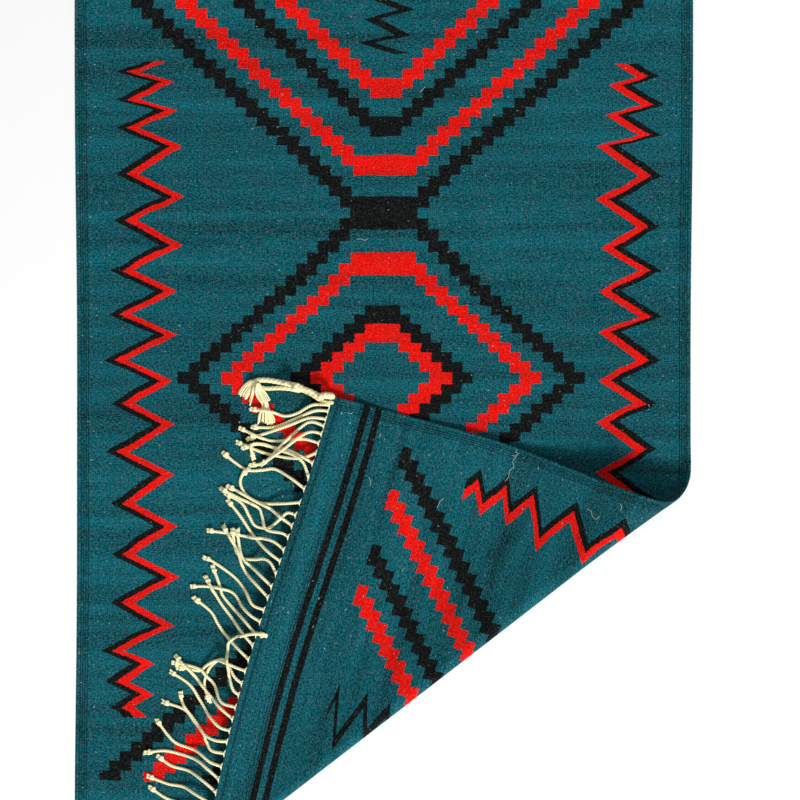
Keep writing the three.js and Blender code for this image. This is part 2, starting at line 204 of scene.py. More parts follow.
def half_width_at(along):
    """Half the width: drawn in at the waist by a squared cosine, with a slow waver."""
    waist = WAIST * np.cos(np.pi * along / (2 * HALF_LENGTH)) ** 2
    return HALF_WIDTH - waist + SELVEDGE_WAVER * np.sin(along / WAVER_LENGTH) ** 3


def edge_at(across, along):
    """Distance from the middle line to the selvedge on the point's side. The right one is
    drawn in beside the fold, by the product of two smooth steps."""
    begun = smooth((along - DRAWN_IN_FROM) / (DRAWN_IN_FULL - DRAWN_IN_FROM))
    ended = smooth((along - DRAWN_OUT_FROM) / (DRAWN_OUT_END - DRAWN_OUT_FROM))
    return half_width_at(along) - DRAWN_IN * begun * (1 - ended) * (across > 0)


def half_length_at(across):
    """Half the length: each end bows out by a squared cosine across the rug."""
    return HALF_LENGTH + END_BOW * np.cos(np.pi * across / (2 * HALF_WIDTH)) ** 2


def to_fold(across, along):
    """(distance along the fold line, reach square to it) of a point of the flat cloth."""
    return across * COS_FOLD + along * SIN_FOLD, across * SIN_FOLD - along * COS_FOLD


def from_fold(line, reach):
    """The flat cloth's (across, along) of a point given in the fold's own axes."""
    return line * COS_FOLD + reach * SIN_FOLD, line * SIN_FOLD - reach * COS_FOLD


# %% The fold's profile
def roll_radius_at(line):
    """The nose's radius: a slow taper to the near end, a power curve to the selvedge."""
    taper = ROLL_TAPER * np.minimum(0.0, line - TAPER_START)
    flare = np.clip((line - FLARE_START) / (FLARE_END - FLARE_START), 0.0, MOST_FLARE)
    return ROLL_RADIUS + taper + (FLARE_RADIUS - ROLL_RADIUS) * flare**FLARE_POWER


def fold_lengths(radius):
    """Lengths of cloth in the nose, the slope and the landing curve, and the nose's height."""
    nose_height = radius * (1 + math.cos(LANDING_DIP))
    landing_drop = LANDING_RADIUS * (1 - math.cos(LANDING_DIP))
    nose = radius * (math.pi + LANDING_DIP)
    slope = (nose_height - landing_drop - LAYER_RISE) / math.sin(LANDING_DIP)
    return nose, slope, LANDING_RADIUS * LANDING_DIP, nose_height


def profile_at(distance, radius):
    """(out, rise) past the last flat point: an arc of the nose's radius through half a turn
    and the dip, a straight slope down at the dip's angle, and an arc that levels it out."""
    nose, slope, landing, nose_height = fold_lengths(radius)
    turn = np.clip(distance, 0.0, nose) / radius
    on_slope = np.clip(distance - nose, 0.0, slope)
    on_landing = np.clip(distance - nose - slope, 0.0, landing)
    on_flat = np.maximum(distance - nose - slope - landing, 0.0)
    dip = LANDING_DIP - on_landing / LANDING_RADIUS
    landing_run = LANDING_RADIUS * (math.sin(LANDING_DIP) - np.sin(dip))
    landing_drop = LANDING_RADIUS * (np.cos(dip) - math.cos(LANDING_DIP))
    out = radius * np.sin(turn) - on_slope * math.cos(LANDING_DIP) - landing_run - on_flat
    rise = radius * (1 - np.cos(turn)) - on_slope * math.sin(LANDING_DIP) - landing_drop
    return out + np.minimum(distance, 0.0), rise


def crease_axes(across, along, middle_across, middle_along, heading):
    """A point's distances from a crease's middle: along the crease, and square to it."""
    dx, dy = across - middle_across, along - middle_along
    cos_heading, sin_heading = math.cos(heading), math.sin(heading)
    return dx * cos_heading + dy * sin_heading, dy * cos_heading - dx * sin_heading


def lift_at(across, along):
    """How far the upper layer is raised: a sum of bells at the end, the selvedge and each
    ridge."""
    from_end = along + half_length_at(across)
    inset = edge_at(across, along) - across
    middle = bell(across - END_LIFT_MIDDLE, END_LIFT_SPREAD)
    lift = END_LIFT * bell(from_end, END_LIFT_DEPTH) * middle
    lift = lift + EDGE_LIFT * bell(from_end, EDGE_LIFT_DEPTH)
    side_begun = smooth((along - SIDE_LIFT_START) / SIDE_LIFT_RUN)
    lift = lift + SIDE_LIFT * bell(inset, SIDE_LIFT_DEPTH) * side_begun
    for *place, half_length, half_width, rise in RIDGES:
        lengthways, sideways = crease_axes(across, along, *place)
        lift = lift + rise * bell(lengthways, half_length) * bell(sideways, half_width)
    return lift


def fold_share_at(across, along):
    """(share of the way round the nose, share of the way down the slope), as smooth steps."""
    line, reach = to_fold(across, along)
    radius = roll_radius_at(line)
    distance = reach - FOLD_REACH + radius
    nose, slope, _, _ = fold_lengths(radius)
    return smooth(distance / nose), smooth((distance - nose) / (slope + 0.001))


def cloth_middle(across, along):
    """The middle of the cloth's thickness where the flat cloth's points come to lie."""
    line, reach = to_fold(across, along)
    radius = roll_radius_at(line)
    tangent = FOLD_REACH - radius
    out, rise = profile_at(reach - tangent, radius)
    x, y = from_fold(line, tangent + out)
    _, landed = fold_share_at(across, along)
    z = THICKNESS / 2 + rise + lift_at(across, along) * landed
    return np.stack([x, y, z], axis=-1)


def cloth_normal(across, along, step=0.0005):
    """The unit normal of the cloth's upper face, by central differences."""
    sideways = cloth_middle(across + step, along) - cloth_middle(across - step, along)
    lengthways = cloth_middle(across, along + step) - cloth_middle(across, along - step)
    return unit(np.cross(sideways, lengthways))


# %% [markdown]
# ## The mesh of the rug
#
# A grid on the flat cloth is bent by the formula. On the folded corner its rows run along the
# fold, close together on the nose and wider apart on the level cloth. On the floor its columns
# run along the warps, from the near end or the fold to the far end. Near the selvedges and
# the ends the grid is fine, because the corded edges there are real relief.

# %% Spacing of the grid
CORD_PITCH = 0.0046
EDGE_CORD = 0.0072
SELVEDGE_CORDS = 4
SELVEDGE_WIDTH = EDGE_CORD + (SELVEDGE_CORDS - 1) * CORD_PITCH
END_GROOVE_AT = 0.0118
END_GROOVE_WIDTH = 0.0030
FINE_STEP = CORD_PITCH / 4
FINE_SELVEDGE = np.arange(0.0, SELVEDGE_WIDTH + FINE_STEP, FINE_STEP)
FINE_END = np.array([0.0, 0.003, 0.006, 0.008, 0.010, 0.0118, 0.0136, 0.0156, 0.018, 0.022])
NOSE_ROWS = 30
LANDING_ROWS = 22
FLAT_ROW_STEP = 0.0065
ROW_COLUMNS = 90
FLOOR_ROWS = 44
FLOOR_COLUMN_STEP = 0.030
FINE_START_SHARE, FINE_STOP_SHARE = 0.3, 0.4
HALVINGS = 40
MERGE_DISTANCE = 0.0006


def edge_spaced(start, stop, fine_start, fine_stop, count):
    """Places from start to stop: fine steps at both ends, even ones between. The fine steps
    shrink where the stretch is short. start and stop are arrays, one stretch for each."""
    start, stop = np.atleast_1d(start)[:, None], np.atleast_1d(stop)[:, None]
    span = stop - start
    first = fine_start[None, :] * np.minimum(1.0, FINE_START_SHARE * span / fine_start[-1])
    last = fine_stop[None, ::-1] * np.minimum(1.0, FINE_STOP_SHARE * span / fine_stop[-1])
    low, high = start + first[:, -1:], stop - last[:, :1]
    shares = np.linspace(0.0, 1.0, count + 1)[None, 1:-1]
    return np.concatenate([start + first, low + (high - low) * shares, stop - last], axis=1)


def crossing(is_inside, inside, outside):
    """Where each line leaves a region, by halving the stretch between two places."""
    for _ in range(HALVINGS):
        middle = (inside + outside) / 2
        within = is_inside(middle)
        inside = np.where(within, middle, inside)
        outside = np.where(within, outside, middle)
    return inside


# %% Rows across the folded corner
def row_point(steps, line):
    """The flat cloth's point at a place on the fold line. steps counts 0 to 1 round the nose,
    1 to 2 down to the landing, and then metres."""
    radius = roll_radius_at(line)
    nose, slope, landing, _ = fold_lengths(radius)
    on_nose = np.clip(steps, 0.0, 1.0) * nose
    on_slope = np.clip(steps - 1.0, 0.0, 1.0) * (slope + landing)
    on_level = np.maximum(steps - 2.0, 0.0)
    return from_fold(line, FOLD_REACH - radius + on_nose + on_slope + on_level)


def fold_rows():
    """(across, along) of the rows that cross the folded corner, one row for each step value."""
    corner_line, corner_reach = to_fold(HALF_WIDTH, -HALF_LENGTH)
    radius = roll_radius_at(corner_line)
    nose, slope, landing, _ = fold_lengths(radius)
    last = 2.0 + corner_reach - FOLD_REACH + radius - nose - slope - landing
    level = np.arange(2.0, last - 0.001, FLAT_ROW_STEP)[1:]
    round_nose = np.linspace(0, 1, NOSE_ROWS + 1)
    down_slope = np.linspace(1, 2, LANDING_ROWS + 1)[1:]
    steps = np.concatenate([round_nose, down_slope, level, [last - 0.0008]])
    start = np.full_like(steps, corner_line)

    def before_end(line):
        across, along = row_point(steps, line)
        return along > -half_length_at(across)

    def before_selvedge(line):
        across, along = row_point(steps, line)
        return across < edge_at(across, along)

    left = crossing(before_end, start, start - 2 * HALF_LENGTH)
    right = crossing(before_selvedge, start, start + HALF_LENGTH)
    lines = edge_spaced(left, right, FINE_END / SIN_FOLD, FINE_SELVEDGE / COS_FOLD, ROW_COLUMNS)
    return row_point(steps[:, None], lines)


def floor_columns(fold_across, fold_along):
    """(across, along) of the columns on the floor, from the near end and the first fold row to
    the far end. Each column keeps its share of the width, so it follows the selvedges."""
    start = -half_width_at(-HALF_LENGTH)
    first_coarse = start + SELVEDGE_WIDTH + FLOOR_COLUMN_STEP
    coarse = np.arange(first_coarse, fold_across[0] - 0.01, FLOOR_COLUMN_STEP)
    near = np.concatenate([start + FINE_SELVEDGE, coarse])
    across = np.concatenate([near, fold_across])
    along = np.concatenate([-half_length_at(near), fold_along])
    share = across / half_width_at(along)
    far = half_length_at(share * HALF_WIDTH)
    places = edge_spaced(along, far, FINE_END, FINE_END, FLOOR_ROWS)
    return share[:, None] * half_width_at(places), places


def grid_quads(rows, columns, offset=0):
    """The quads of a rows x columns grid of points, as an array of four indices each."""
    index = np.arange(rows * columns).reshape(rows, columns) + offset
    quads = np.stack([index[:-1, :-1], index[:-1, 1:], index[1:, 1:], index[1:, :-1]], axis=-1)
    return quads.reshape(-1, 4)


def flat_pattern():
    """The flat cloth as (points, faces): both grids, with shared points merged."""
    fold_across, fold_along = fold_rows()
    floor_across, floor_along = floor_columns(fold_across[0], fold_along[0])
    fold_grid = np.stack([fold_across, fold_along], axis=-1)
    floor_grid = np.stack([floor_across, floor_along], axis=-1)
    points = np.concatenate([fold_grid.reshape(-1, 2), floor_grid.reshape(-1, 2)])
    fold_quads = grid_quads(*fold_across.shape)[:, ::-1]
    floor_quads = grid_quads(*floor_across.shape, offset=fold_across.size)[:, ::-1]
    flat = bmesh.new()
    vertices = [flat.verts.new((x, y, 0.0)) for x, y in points]
    for quad in np.concatenate([fold_quads, floor_quads]):
        flat.faces.new([vertices[i] for i in quad])
    bmesh.ops.remove_doubles(flat, verts=flat.verts, dist=MERGE_DISTANCE)
    flat.verts.index_update()
    merged = np.array([vertex.co[:2] for vertex in flat.verts])
    faces = [[vertex.index for vertex in face.verts] for face in flat.faces]
    flat.free()
    return merged, faces


# %% From the flat pattern to a sheet with two faces and rounded edges
RIDGE_HEIGHT = 0.0008
RIM_OVERHANG = 0.4 * THICKNESS


def relief_at(across, along):
    """Height of the corded edges: a row of round cords at each selvedge, and a groove along
    each end between the twined strip and the cloth."""
    inset = edge_at(across, along) - np.abs(across)
    place = np.where(inset < EDGE_CORD, inset / EDGE_CORD, (inset - EDGE_CORD) / CORD_PITCH)
    cords = np.abs(np.sin(np.pi * place)) * (inset < SELVEDGE_WIDTH)
    from_end = half_length_at(across) - np.abs(along)
    return RIDGE_HEIGHT * (cords - bell(from_end - END_GROOVE_AT, END_GROOVE_WIDTH))


def boundary_of(faces):
    """The edges that one face alone has, in that face's direction, as an array of pairs."""
    pairs = {}
    for face in faces:
        for start, stop in zip(face, face[1:] + face[:1]):
            if (stop, start) in pairs:
                del pairs[stop, start]
            else:
                pairs[start, stop] = True
    return np.array(list(pairs))


def bent_sheet(points, faces):
    """Upper face, lower face and a rounded rim of the cloth, bent as it lies."""
    across, along = points[:, 0], points[:, 1]
    middle, normal = cloth_middle(across, along), cloth_normal(across, along)
    relief = relief_at(across, along)
    turned, _ = fold_share_at(across, along)
    upper = middle + normal * (THICKNESS / 2 + relief)[:, None]
    lower = middle - normal * (THICKNESS / 2 + relief * turned)[:, None]
    rim = boundary_of(faces)
    way = points[rim[:, 1]] - points[rim[:, 0]]
    outward = unit(np.stack([way[:, 1], -way[:, 0]], axis=-1))
    push = np.zeros_like(points)
    np.add.at(push, rim[:, 0], outward)
    np.add.at(push, rim[:, 1], outward)
    rim_points = np.unique(rim)
    edge_points = points[rim_points] + unit(push[rim_points]) * RIM_OVERHANG
    edge = cloth_middle(edge_points[:, 0], edge_points[:, 1])
    count = len(points)
    place_in_rim = np.zeros(count, int)
    place_in_rim[rim_points] = np.arange(len(rim_points)) + 2 * count
    all_faces = list(faces)
    all_faces += [[i + count for i in face[::-1]] for face in faces]
    start, stop = rim[:, 0], rim[:, 1]
    rim_start, rim_stop = place_in_rim[start], place_in_rim[stop]
    all_faces += np.stack([stop, start, rim_start, rim_stop], axis=-1).tolist()
    all_faces += np.stack([rim_stop, rim_start, start + count, stop + count], axis=-1).tolist()
    vertices = np.concatenate([upper, lower, edge])
    flat_places = np.concatenate([points, points, points[rim_points]])
    return vertices, all_faces, flat_places


def add_piece(name, vertices, faces):
    """A smooth mesh object at the origin, from an array of points and a list of faces."""
    mesh = bpy.data.meshes.new(name)
    mesh.from_pydata(vertices.tolist(), [], faces)
    mesh.polygons.foreach_set("use_smooth", np.full(len(mesh.polygons), True))
    mesh.update()
    piece = bpy.data.objects.new(name, mesh)
    bpy.context.scene.collection.objects.link(piece)
    return piece


def add_attribute(piece, name, values):
    """A vector for each point of the mesh, for the material to read."""
    layer = piece.data.attributes.new(name, "FLOAT_VECTOR", "POINT")
    layer.data.foreach_set("vector", np.ascontiguousarray(values, dtype=np.float32).ravel())


# %% The rug itself
pattern_points, pattern_faces = flat_pattern()
rug_vertices, rug_faces, flat_places = bent_sheet(pattern_points, pattern_faces)
rug = add_piece("woven_rug", rug_vertices, rug_faces)
from_end = half_length_at(flat_places[:, 0]) - np.abs(flat_places[:, 1])
inset = edge_at(flat_places[:, 0], flat_places[:, 1]) - np.abs(flat_places[:, 0])
add_attribute(rug, "cloth", np.column_stack([flat_places, from_end]))
add_attribute(rug, "edges", np.column_stack([inset, from_end, from_end]))
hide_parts("rug")
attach(rug, "root")
print("rug:", len(rug_vertices), "points,", len(rug_faces), "faces")


# %% [markdown]
# ## The pattern
#
# A tapestry weave has its pattern in the yarn, so it is worked out in the material from the
# flat cloth's own coordinates, and it goes round the fold with the cloth. The chart is the
# weaver's: blocks of one unit of warps by one row of wefts. In a diamond, row plus column is
# constant along a line, and in the arms row minus column is. So each stepped line is a band
# of one of those two sums. No picture is used.

# %% A number in a material
class Signal:
    """One number at each point of a surface. Arithmetic on it adds a Math node."""

    def __init__(self, tree, socket):
        self.tree, self.socket = tree, socket

    def math(self, operation, *others):
        node = self.tree.nodes.new("ShaderNodeMath")
        node.operation = operation
        for socket, value in zip(node.inputs, (self, *others)):
            if isinstance(value, Signal):
                self.tree.links.new(value.socket, socket)
            else:
                socket.default_value = value
        return Signal(self.tree, node.outputs[0])

    def __add__(self, other):
        return self.math("ADD", other)

    def __sub__(self, other):
        return self.math("SUBTRACT", other)

    def __mul__(self, other):
        return self.math("MULTIPLY", other)

    def __truediv__(self, other):
        return self.math("DIVIDE", other)

    def near(self, centre, half_width):
        """1 where the number is within half_width of centre, and 0 elsewhere."""
        return self.math("COMPARE", centre, half_width)

    def below(self, limit):
        return self.math("LESS_THAN", limit)

    def above(self, limit):
        return self.math("GREATER_THAN", limit)

    def either(self, other):
        return self.math("MAXIMUM", other)

    def without(self, other):
        """This mask where the other one is 0."""
        return self * other.math("MULTIPLY_ADD", -1.0, 1.0)

    def bell(self, centre, spread):
        """exp(-((x - centre) / spread)^2)."""
        offset = (self - centre) / spread
        return (offset * offset * -1.0).math("EXPONENT")


def srgb(red, green, blue):
    """A colour given by its 8-bit screen values, as the linear values that a shader takes."""
    values = np.array([red, green, blue]) / 255
    linear = np.where(values <= 0.04045, values / 12.92, ((values + 0.055) / 1.055) ** 2.4)
    return (*linear.tolist(), 1.0)


def new_material(name):
    """A new material, with its node tree and its shader."""
    material = bpy.data.materials.new(name)
    material.use_nodes = True
    return material, material.node_tree, material.node_tree.nodes["Principled BSDF"]


def attribute_signals(tree, name):
    """The three numbers of a vector attribute."""
    source = tree.nodes.new("ShaderNodeAttribute")
    source.attribute_name = name
    split = tree.nodes.new("ShaderNodeSeparateXYZ")
    tree.links.new(source.outputs["Vector"], split.inputs[0])
    return [Signal(tree, output) for output in split.outputs]


def rough(shader, height, strength):
    """Gives the shader a bump of the given height, in metres."""
    tree = height.tree
    bump = tree.nodes.new("ShaderNodeBump")
    bump.inputs["Distance"].default_value = 1.0
    bump.inputs["Strength"].default_value = strength
    tree.links.new(height.socket, bump.inputs["Height"])
    tree.links.new(bump.outputs["Normal"], shader.inputs["Normal"])


# %% Noise and colour
def vector_of(*signals):
    """Up to three signals as one vector."""
    tree = signals[0].tree
    node = tree.nodes.new("ShaderNodeCombineXYZ")
    for socket, signal in zip(node.inputs, signals):
        tree.links.new(signal.socket, socket)
    return node.outputs[0]


def noise(*axes, detail=1.0, roughness=0.5):
    """Soft noise, about 0.5 on average, one blob for each unit of the axes."""
    tree = axes[0].tree
    node = tree.nodes.new("ShaderNodeTexNoise")
    node.inputs["Scale"].default_value = 1.0
    node.inputs["Detail"].default_value = detail
    node.inputs["Roughness"].default_value = roughness
    tree.links.new(vector_of(*axes), node.inputs["Vector"])
    return Signal(tree, node.outputs["Fac"])


def cloth_noise(across, along, size, *slant, **kind):
    """Soft noise, less its average, in blobs of size = (across, along). slant adds an axis."""
    return noise(across / size[0], along / size[1], *slant, **kind) - 0.5


def speckle(*axes):
    """A different number from -0.5 to 0.5 for each whole unit of the axes."""
    tree = axes[0].tree
    node = tree.nodes.new("ShaderNodeTexWhiteNoise")
    node.noise_dimensions = "3D"
    whole = vector_of(*[axis.math("FLOOR") for axis in axes])
    tree.links.new(whole, node.inputs["Vector"])
    return Signal(tree, node.outputs["Value"]) - 0.5


def mixed(share, first, second):
    """One colour blended into another. Colours are sockets or four numbers."""
    tree = share.tree
    node = tree.nodes.new("ShaderNodeMix")
    node.data_type = "RGBA"
    tree.links.new(share.socket, node.inputs["Factor"])
    for socket, colour in ((node.inputs[6], first), (node.inputs[7], second)):
        if isinstance(colour, tuple):
            socket.default_value = colour
        else:
            tree.links.new(colour, socket)
    return node.outputs[2]


def scaled(colour, factor):
    """A colour made lighter or darker by a signal."""
    tree = factor.tree
    node = tree.nodes.new("ShaderNodeVectorMath")
    node.operation = "SCALE"
    tree.links.new(colour, node.inputs[0])
    tree.links.new(factor.socket, node.inputs["Scale"])
    return node.outputs[0]


# %% [markdown]
# The yarns are a deep teal ground, a bright red and a soft black. The chart counts units of
# warps across and rows along. Figures that aren't stepped are given in metres. A weaver's rows
# are never quite even, so the columns and rows stray a little from the chart, by small sums.

# %% The chart
TEAL = srgb(2, 80, 90)
RED = srgb(226, 14, 4)
BLACK = srgb(12, 12, 12)
UNIT = 0.02074
ROW = 0.01978
MIDDLE_ROW = 0.0118
DRIFT_FROM, DRIFT_SLOPE, MOST_DRIFT = 0.323, 0.016, 0.007
# Toward the near end the rows bow with the end itself, and the columns lie closer together.
BOWED_FROM, BOWED_FULL = 0.32, 0.47
ROW_LEAD = 0.012
LEAD_FROM, LEAD_SLOPE = 0.60, 0.02
DRAWN_COLUMNS = 0.62
# Each weft turns back a little early or late, and whole stretches of rows slip.
WEFT_PITCH = 0.0013
TURN_BACK_LENGTH = 0.03
STEP_STRAY, ZIGZAG_STRAY = 0.0022, 0.003
SLIP_SIZE = (0.03, 0.05)
ROW_SLIP, STRIPE_SLIP = 0.003, 0.002
# Where the rows lie further out than their number says: (middle, spread, metres).
STRETCHES = [(0.415, 0.122, 0.0094), (0.176, 0.078, -0.0098)]
WAIST_ROW = 16.5
LAST_ROW = 40
# Bands of row + column in the diamonds: (from, to).
DIAMOND_RED = [(4.6, 6.65), (13.1, 15.1)]
DIAMOND_BLACK = [(6.65, 8.65), (17.2, 19.2)]
# Bands of row - column in the arms: (from, to).
ARM_BLACK = [(12.8, 14.9), (22.5, 24.5)]
ARM_RED = [(17.0, 19.0), (26.5, 28.5)]
# Blocks across the middle: first row, last row, yarn, half width in units.
CENTRE_BLOCKS = [
    (4, 5, "red", 1.5),
    (6, 7, "black", 1.5),
    (8, 10, "teal", 1.0),
    (11, 12, "red", 3.0),
    (13, 14, "teal", 2.2),
    (15, 17, "black", 3.2),
    (18, 19, "teal", 2.2),
    (20, 21, "red", 3.0),
    (22, 22, "teal", 2.0),
    (23, 23, "teal", 0.6),
    (24, 25, "black", 1.5),
    (26, 26, "teal", 1.2),
    (27, 27, "teal", 0.6),
    (28, 29, "red", 1.5),
]

# %% The zigzags, the squiggles and the end stripes, in metres
ZIGZAG_RED = 0.0235
ZIGZAG_BLACK = 0.0212
ZIGZAG_SPAN = 0.70
# The corners of each zigzag's inner side, charted to the half centimetre from the far
# end to the near one: (across, along) in centimetres. Inner corners and outer ones take turns.
RIGHT_ZIGZAG = [
    (45.5, 61.5), (49.5, 59), (44, 57.5), (50.5, 53.5), (43.5, 51.5), (50, 47.5), (41.5, 45.5),
    (50, 39.5), (41.5, 35), (49.5, 29.5), (42.5, 25.5), (50, 21), (42, 17), (50, 12), (42, 9),
    (49.5, 3.5), (42, -0.5), (49, -5), (41.5, -8.5), (49, -14), (41.5, -18.5), (49, -24),
    (41, -29), (48.5, -35.5), (41, -39.5), (48.5, -44), (41, -48.5), (49.5, -52), (44.5, -55.5),
    (50, -57.5), (45, -61), (49.5, -63), (47, -65),
]
LEFT_ZIGZAG = [
    (42.5, 62), (48, 60), (41, 58), (48, 54.5), (40.5, 52.5), (48, 49), (39.5, 45.5), (48, 40),
    (39, 35.5), (48.5, 31), (39.5, 26), (49, 21), (40.5, 17), (49.5, 12.5), (40.5, 8.5),
    (50.5, 3.5), (41.5, -0.5), (49, -5), (41, -9), (50, -14.5), (41, -19), (49, -24.5),
    (40.5, -29), (49, -34.5), (40, -39), (49, -44), (41, -48.5), (51, -53.5), (45, -56),
    (50, -59.5), (45, -62), (49, -64.5), (46.5, -66.5),
]
SQUIGGLE_THICK = 0.0160
# The corners of the thin squiggle in each end: (along, across).
SQUIGGLE = [
    (0.635, 0.036), (0.657, -0.035), (0.672, 0.037), (0.703, -0.024),
    (0.721, 0.045), (0.7585, -0.053), (0.779, 0.045), (0.788, -0.004),
]
SQUIGGLE_SPAN = (0.625, 0.798)
# Bands by the distance from the end: (middle, half width).
END_STRIPES = [(0.0722, 0.0062), (0.0967, 0.0066)]
STRIPE_TURN = 0.0040
END_LINES = [(END_GROOVE_AT, 0.0024), (0.0570, 0.0008), (0.0630, 0.0011)]


# %% The masks of red and black yarn
def banded(number, bands):
    """1 where the number lies in one of the bands."""
    found = None
    for low, high in bands:
        band = number.near((low + high) / 2, (high - low) / 2)
        found = band if found is None else found.either(band)
    return found


def curve_through(signal, places, values, low, high):
    """Straight lines between the points (place, value), by a Float Curve over low to high."""
    tree = signal.tree
    node = tree.nodes.new("ShaderNodeFloatCurve")
    curve = node.mapping.curves[0]
    most = max(map(abs, values)) * 2
    points = [((p - low) / (high - low), v / most + 0.5) for p, v in zip(places, values)]
    curve.points[0].location, curve.points[1].location = points[0], points[-1]
    for point in points[1:-1]:
        curve.points.new(*point)
    for point in curve.points:
        point.handle_type = "VECTOR"
    node.mapping.update()
    tree.links.new(((signal - low) / (high - low)).socket, node.inputs["Value"])
    return (Signal(tree, node.outputs[0]) - 0.5) * most


def zigzag_edge(along, corners):
    """(distance of a zigzag's inner side from the middle, 1 where it has teeth). A curve counts
    the corners passed, a triangle wave of it gives 0 at inner corners and 1 at outer ones, and
    two slow curves give how far in and out the teeth reach there."""
    corners = np.array(corners[::-1]) / 100
    sides, places = corners[:, 0].tolist(), corners[:, 1].tolist()
    count = [i / 2 for i in range(len(places))]
    passed = curve_through(along, places, count, -ZIGZAG_SPAN, ZIGZAG_SPAN)
    near_side = curve_through(along, places[::2], sides[::2], -ZIGZAG_SPAN, ZIGZAG_SPAN)
    far_side = curve_through(along, places[1::2], sides[1::2], -ZIGZAG_SPAN, ZIGZAG_SPAN)
    wave = passed.math("PINGPONG", 0.5) * 2.0
    ends = along.near((places[0] + places[-1]) / 2, (places[-1] - places[0]) / 2)
    return near_side + wave * (far_side - near_side), ends


def yarn_masks(across, along, from_end):
    """(red, black) masks of the whole design."""
    side, distance = across.math("ABSOLUTE"), along.math("ABSOLUTE")
    drift = ((along - DRIFT_FROM) * DRIFT_SLOPE).math("MAXIMUM", -MOST_DRIFT)
    turn_back = speckle(along / WEFT_PITCH, side / TURN_BACK_LENGTH)
    bowed = (along * -1.0 - BOWED_FROM) / (BOWED_FULL - BOWED_FROM)
    bowed = bowed.math("MAXIMUM", 0.0).math("MINIMUM", 1.0)
    column = (across - drift).math("ABSOLUTE") + turn_back * STEP_STRAY
    column = column / UNIT + bowed * DRAWN_COLUMNS

    lead = (distance - LEAD_FROM).math("MAXIMUM", 0.0) * LEAD_SLOPE + (ROW_LEAD + HALF_LENGTH)
    reach = distance + bowed * (lead - distance - from_end)
    slip = cloth_noise(across, along, SLIP_SIZE)
    row = reach + slip * ROW_SLIP - MIDDLE_ROW
    for middle, spread, most in STRETCHES:
        row = row - distance.bell(middle, spread) * most
    row = ((row / ROW).math("FLOOR") + 1.0).math("MAXIMUM", 0.0)

    in_diamond = row.below(WAIST_ROW)
    in_arm = row.near((WAIST_ROW + LAST_ROW) / 2, (LAST_ROW - WAIST_ROW) / 2)
    red = banded(row + column, DIAMOND_RED) * in_diamond
    red = red.either(banded(row - column, ARM_RED) * in_arm)
    black = banded(row + column, DIAMOND_BLACK) * in_diamond
    black = black.either(banded(row - column, ARM_BLACK) * in_arm)
    for first, last, yarn, half_width in CENTRE_BLOCKS:
        block = row.near((first + last) / 2, (last - first) / 2 + 0.1) * column.below(half_width)
        red = red.either(block) if yarn == "red" else red.without(block)
        black = black.either(block) if yarn == "black" else black.without(block)

    on_right = across.above(0.0)
    on_left = on_right.math("MULTIPLY_ADD", -1.0, 1.0)
    for corners, on_side in ((RIGHT_ZIGZAG, on_right), (LEFT_ZIGZAG, on_left)):
        inner, ends = zigzag_edge(along, corners)
        depth = side + turn_back * ZIGZAG_STRAY - inner
        shown = ends * on_side
        in_red = depth.near(ZIGZAG_RED / 2, ZIGZAG_RED / 2)
        in_black = depth.near(ZIGZAG_RED + ZIGZAG_BLACK / 2, ZIGZAG_BLACK / 2)
        red, black = red.either(in_red * shown), black.either(in_black * shown)

    places, sides = zip(*SQUIGGLE)
    line = curve_through(reach, places, sides, *SQUIGGLE_SPAN)
    within = reach.near((places[0] + places[-1]) / 2, (places[-1] - places[0]) / 2)
    black = black.either((across - line).near(0.0, SQUIGGLE_THICK) * within)
    wavy_end = from_end + slip * STRIPE_SLIP + side * side * (STRIPE_TURN / HALF_WIDTH**2)
    for middle, half_width in END_STRIPES:
        black = black.either(wavy_end.near(middle, half_width))
    return red, black


# %% [markdown]
# ## The weave
#
# The wefts are beaten down so hard that only they show. They run over warps four millimetres
# apart, which makes fine ribs along the rug, and each pass shows as a bead on every second
# rib. The grooves between the ribs and the beads are given painted shade. Hand-spun wool
# varies along its length, and each dye lot differs a little, so the ground is flecked and has
# faint bands. The cloth is a little lighter on the left than on the right.

# %% Sizes of the weave
WARP_PITCH = 0.0041
RIB_HEIGHT = 0.00045
BEAD_HEIGHT = 0.00035
FLECK_HEIGHT = 0.0008
LINE_DEPTH = 0.0006
CREASE_DEPTH = 0.0012
# How far the edges of the design waver and fray.
PULL, NICK = 0.007, 0.0032
PULL_SIZE, NICK_SIZE = (0.055, 0.055), (0.02, 0.0042)
# Blobs of each kind of unevenness: (across, along).
WOBBLE_SIZE = (0.02, 0.02)
FLECK_SIZE = (0.0046, 0.0024)
YARN_LENGTH = 0.034
DYE_SIZE = (0.9, 0.034)
CLOUD_SIZE = (0.10, 0.045)
FUZZ_SIZE, SPECK_SIZE = (0.0038, 0.0030), (0.0056, 0.0036)
# How much each kind lightens or darkens the yarn.
FLECK_CONTRAST = 6.0
YARN_CONTRAST = 0.40
DYE_CONTRAST = 1.7
CLOUD_CONTRAST = 0.35
# Painted shade in the grooves between the ribs and between the beads.
RIB_GROOVE_SHADE = 0.30
BEAD_GROOVE_SHADE = 0.20
# The cloth is a little darker toward the right and lighter toward the left.
DARKER_RIGHTWARD_PER_METRE = 0.08
DARKEST = 0.10
FUZZ, SPECKS = 0.45, 6.0
FUZZ_FROM, SPECKS_FROM = -0.03, 0.29
# Flecks show less on red yarn, and the pale fuzz with its painted sheen less on black.
CALM_RED, CALM_BLACK = -0.55, -0.6
# The pale fuzz is partly loose pale fibres and partly painted sheen, fibre highlights painted pale.
PALE_FUZZ_AND_SHEEN = srgb(150, 178, 176)
# Painted shade: how much darker the grooves by the ends, the seams between the selvedge cords and
# the creases are painted.
PAINTED_LINE_SHADE, PAINTED_CREASE_SHADE = -0.55, -0.35
GROOVE_LINE, SEAM_WIDTH = 0.75, 0.22
